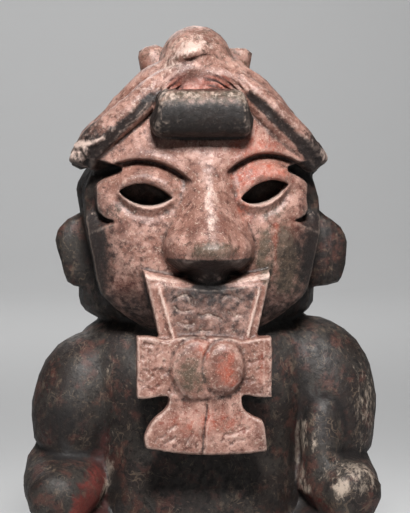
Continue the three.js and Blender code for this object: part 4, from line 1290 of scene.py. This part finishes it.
# %% Colours, and noises with lumps of several sizes in mm
CLAY = dict(warm=tone(130, 92, 80), pink=tone(168, 130, 117), brown=tone(80, 47, 39), body=tone(34, 26, 23),
            ash=tone(47, 42, 38), black=tone(16, 11, 10), green=tone(68, 62, 49), orange=tone(166, 78, 55),
            deep_red=tone(104, 38, 31), bone=tone(188, 170, 153), rose=tone(212, 186, 173),
            root=tone(106, 90, 76))
broad_noise, patch, mottle, speck = grain(28, 4), grain(11, 4, 0.6), grain(4.5, 5, 0.65), grain(1.1, 3, 0.7)
print("colours:", *CLAY)

# %% The warm clay of the mask, and the dark clay of the body with its root marks
warm = coats(CLAY["warm"],
             ("pink", span(patch, 0.44, 0.62, 0, 0.9)),
             ("brown", span(broad_noise, 0.5, 0.66, 0, 0.6)),
             ("brown", span(mottle, 0.5, 0.66, 0, 0.8)),
             ("bone", span(grain(2.2, 4, 0.7), 0.56, 0.7, 0, 0.5)))
root_marks = times(lines(grain(13, 2, 0.5, 1.2), 0.016, 0.005), span(grain(19, 2), 0.46, 0.58))
flecks = span(grain(2.6, 2, 0.6, 0.5), 0.62, 0.7)
earth = coats(CLAY["body"],
              ("ash", span(broad_noise, 0.42, 0.62)),
              ("brown", span(patch, 0.5, 0.66, 0, 0.6)),
              ("root", span(grain(6, 5, 0.7, 0.4, 0.4), 0.54, 0.7, 0, 0.5)),
              ("black", span(mottle, 0.5, 0.64, 0, 0.85)),
              ("root", maths("MAXIMUM", times(root_marks, 0.45), times(flecks, 0.35))))
colour = over(earth, warm, ragged("mask", patch, 0.5, 0.2))
print("with both clays; nodes so far:", len(tree.nodes))

# %% Stains and painted shade, pigment, crust and painted highlights, hollows and edges
red_share = ragged("red", mottle, 1.3, 0.3)
red_colour = over(CLAY["deep_red"], CLAY["orange"], span(share_of("mask"), 0.3, 0.7))
pale_tone = over(CLAY["bone"], CLAY["rose"], share_of("mask"))
# The dark coat carries stains and painted shade, the pale coat crust and painted highlights, and the hollow coat
# paints shade into creases and hollows, with some soil.
colour = coats(colour,
               ("green", times(ragged("green", mottle, 1.3, 0.3), 0.8)),
               (red_colour, times(red_share, 0.75)),
               ("black", times(ragged("soot_and_shade", mottle, 1.0, 0.35), 0.96)),
               (pale_tone, times(ragged("pale", grain(3.2, 5, 0.7, 0.3, 0.5), 1.6, 0.25), 0.7)),
               ("black", times(share_of("hollow"), 0.7)),
               (pale_tone, times(share_of("edge"), 0.35)))
print("with the stains; nodes so far:", len(tree.nodes))

# %% Pits, fine cracks and specks, which end the colour
pit_share = times(span(cells(3.4), 0.16, 0.08), span(grain(17, 2), 0.5, 0.6))
cracks = times(lines(grain(7, 3, 0.6, 1.5), 0.009, 0.003), span(grain(24, 2), 0.5, 0.6))
clean = maths("SUBTRACT", 1.0, times(share_of("soot_and_shade"), 0.8))
colour = coats(colour,
               ("black", times(pit_share, 0.6)),
               ("black", times(cracks, 0.5)),
               (pale_tone, times(span(speck, 0.54, 0.74, 0, 0.4), times(clean, share_of("mask")))),
               ("black", span(speck, 0.45, 0.27, 0, 0.6)))
feed(shader.inputs["Base Color"], colour)
print("the colour is done; nodes so far:", len(tree.nodes))

# %% Gloss and fine bump, and the finish put on the figure
FINE_BUMP = 0.6 * MM
rough = maths("ADD", span(mottle, 0.3, 0.7, 0.3, 0.5), times(maths("SUBTRACT", 1.0, share_of("mask")), 0.16))
rough = maths("ADD", rough, times(maths("MAXIMUM", red_share, share_of("pale")), 0.15))
rough = maths("ADD", rough, times(share_of("soot_and_shade"), 0.15))
feed(shader.inputs["Roughness"], rough)
shader.inputs["Specular IOR Level"].default_value = 0.4
height = maths("ADD", times(speck, 0.6), mottle)
height = maths("SUBTRACT", height, times(maths("ADD", cracks, pit_share), 0.6))
bump = tree.nodes.new("ShaderNodeBump")
bump.inputs["Strength"].default_value = 0.7
bump.inputs["Distance"].default_value = FINE_BUMP
feed(bump.inputs["Height"], height)
feed(shader.inputs["Normal"], bump.outputs[0])
finished.materials.clear()
finished.materials.append(clay_look)
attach(clay, "root")
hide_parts("figure")
print("one material with", len(tree.nodes), "nodes on", clay.name)

# %% [markdown]
# ## Floor, light and camera
#
# The figure is shown on a pale sweep under one soft light from above and in front, whose narrow spread lets
# the carving cast its small shadows. A weaker fill on each side and behind keeps the dark clay readable.

# %% The sweep
SWEEP = dict(front=-9000, curve=2300, radius=900, high=6000, half=9000)
WALL_Y = SWEEP["curve"] + SWEEP["radius"]


def stage():
    """A pale sweep: level floor, then a quarter circle up to a wall, carried along x."""
    turn, radius = np.linspace(0, pi / 2, 24), SWEEP["radius"]
    curve = np.stack([SWEEP["curve"] + radius * np.sin(turn), radius - radius * np.cos(turn)], 1)
    profile = np.concatenate([[(SWEEP["front"], 0)], curve, [(WALL_Y, SWEEP["high"])]])
    x = np.array([-1.0, 1.0]) * SWEEP["half"]
    grid = np.stack([np.stack([np.full(len(profile), v), profile[:, 0], profile[:, 1]], 1) for v in x], 1)
    at = np.arange(grid.shape[0] * 2).reshape(-1, 2)
    faces = quads(at[:-1, 0], at[:-1, 1], at[1:, 1], at[1:, 0])
    floor = bpy.data.objects.new("floor", mesh_of("floor", grid.reshape(-1, 3), faces))
    pale = bpy.data.materials.new("pale_floor")
    pale.use_nodes = True
    paint = pale.node_tree.nodes["Principled BSDF"].inputs
    paint["Base Color"].default_value = (0.55, 0.55, 0.55, 1)
    paint["Roughness"].default_value = 0.9
    floor.data.materials.append(pale)
    floor.data.shade_smooth()
    bpy.context.scene.collection.objects.link(floor)


stage()
print("the wall stands", WALL_Y, "mm behind the figure")


# %% Lights and camera
def aim(thing, place, target):
    """Puts a light or a camera at a place and turns it to a target, both in mm."""
    thing.location = Vector(place) * MM
    thing.rotation_euler = (Vector(target) - Vector(place)).to_track_quat("-Z", "Y").to_euler()
    bpy.context.scene.collection.objects.link(thing)


def softbox(name, place, size, watts, target=(0, 0, 220), spread=180):
    """A rectangular area light: place and size in mm, spread in degrees."""
    light = bpy.data.lights.new(name, "AREA")
    light.shape, light.size, light.size_y, light.energy = "RECTANGLE", size[0] * MM, size[1] * MM, watts
    light.spread = radians(spread)
    aim(bpy.data.objects.new(name, light), place, target)


VIEW = dict(azimuth=-5, elevation=4, distance=1400, target=(-1, -62, 232), mm_per_pixel=0.65, high=513)
SENSOR = 36
softbox("key", (-60, -1030, 1190), (420, 320), 4.8, spread=60)
softbox("fill_left", (-1300, -600, 400), (700, 1000), 0.6)
softbox("fill_right", (1250, -500, 500), (700, 1000), 0.9)
softbox("fill_back", (-200, 1700, 1350), (1000, 600), 9)
softbox("backdrop", (0, 1600, 2000), (2500, 500), 28, (0, WALL_Y, 500), spread=150)
world = bpy.data.worlds.new("room")
world.use_nodes = True
room_light = world.node_tree.nodes["Background"].inputs
room_light["Color"].default_value = (0.9, 0.95, 1, 1)
room_light["Strength"].default_value = 0.06
bpy.context.scene.world = world
az, el = radians(VIEW["azimuth"]), radians(VIEW["elevation"])
back = np.array([sin(az) * cos(el), -cos(az) * cos(el), sin(el)])
lens = bpy.data.cameras.new("camera")
lens.sensor_width = SENSOR
lens.lens = SENSOR * VIEW["distance"] / (VIEW["mm_per_pixel"] * VIEW["high"])
lens.clip_end = 20
camera = bpy.data.objects.new("camera", lens)
aim(camera, np.array(VIEW["target"]) + VIEW["distance"] * back, VIEW["target"])
bpy.context.scene.camera = camera
bpy.context.scene.view_settings.view_transform = "Standard"
print("lens:", round(lens.lens, 1), "mm")
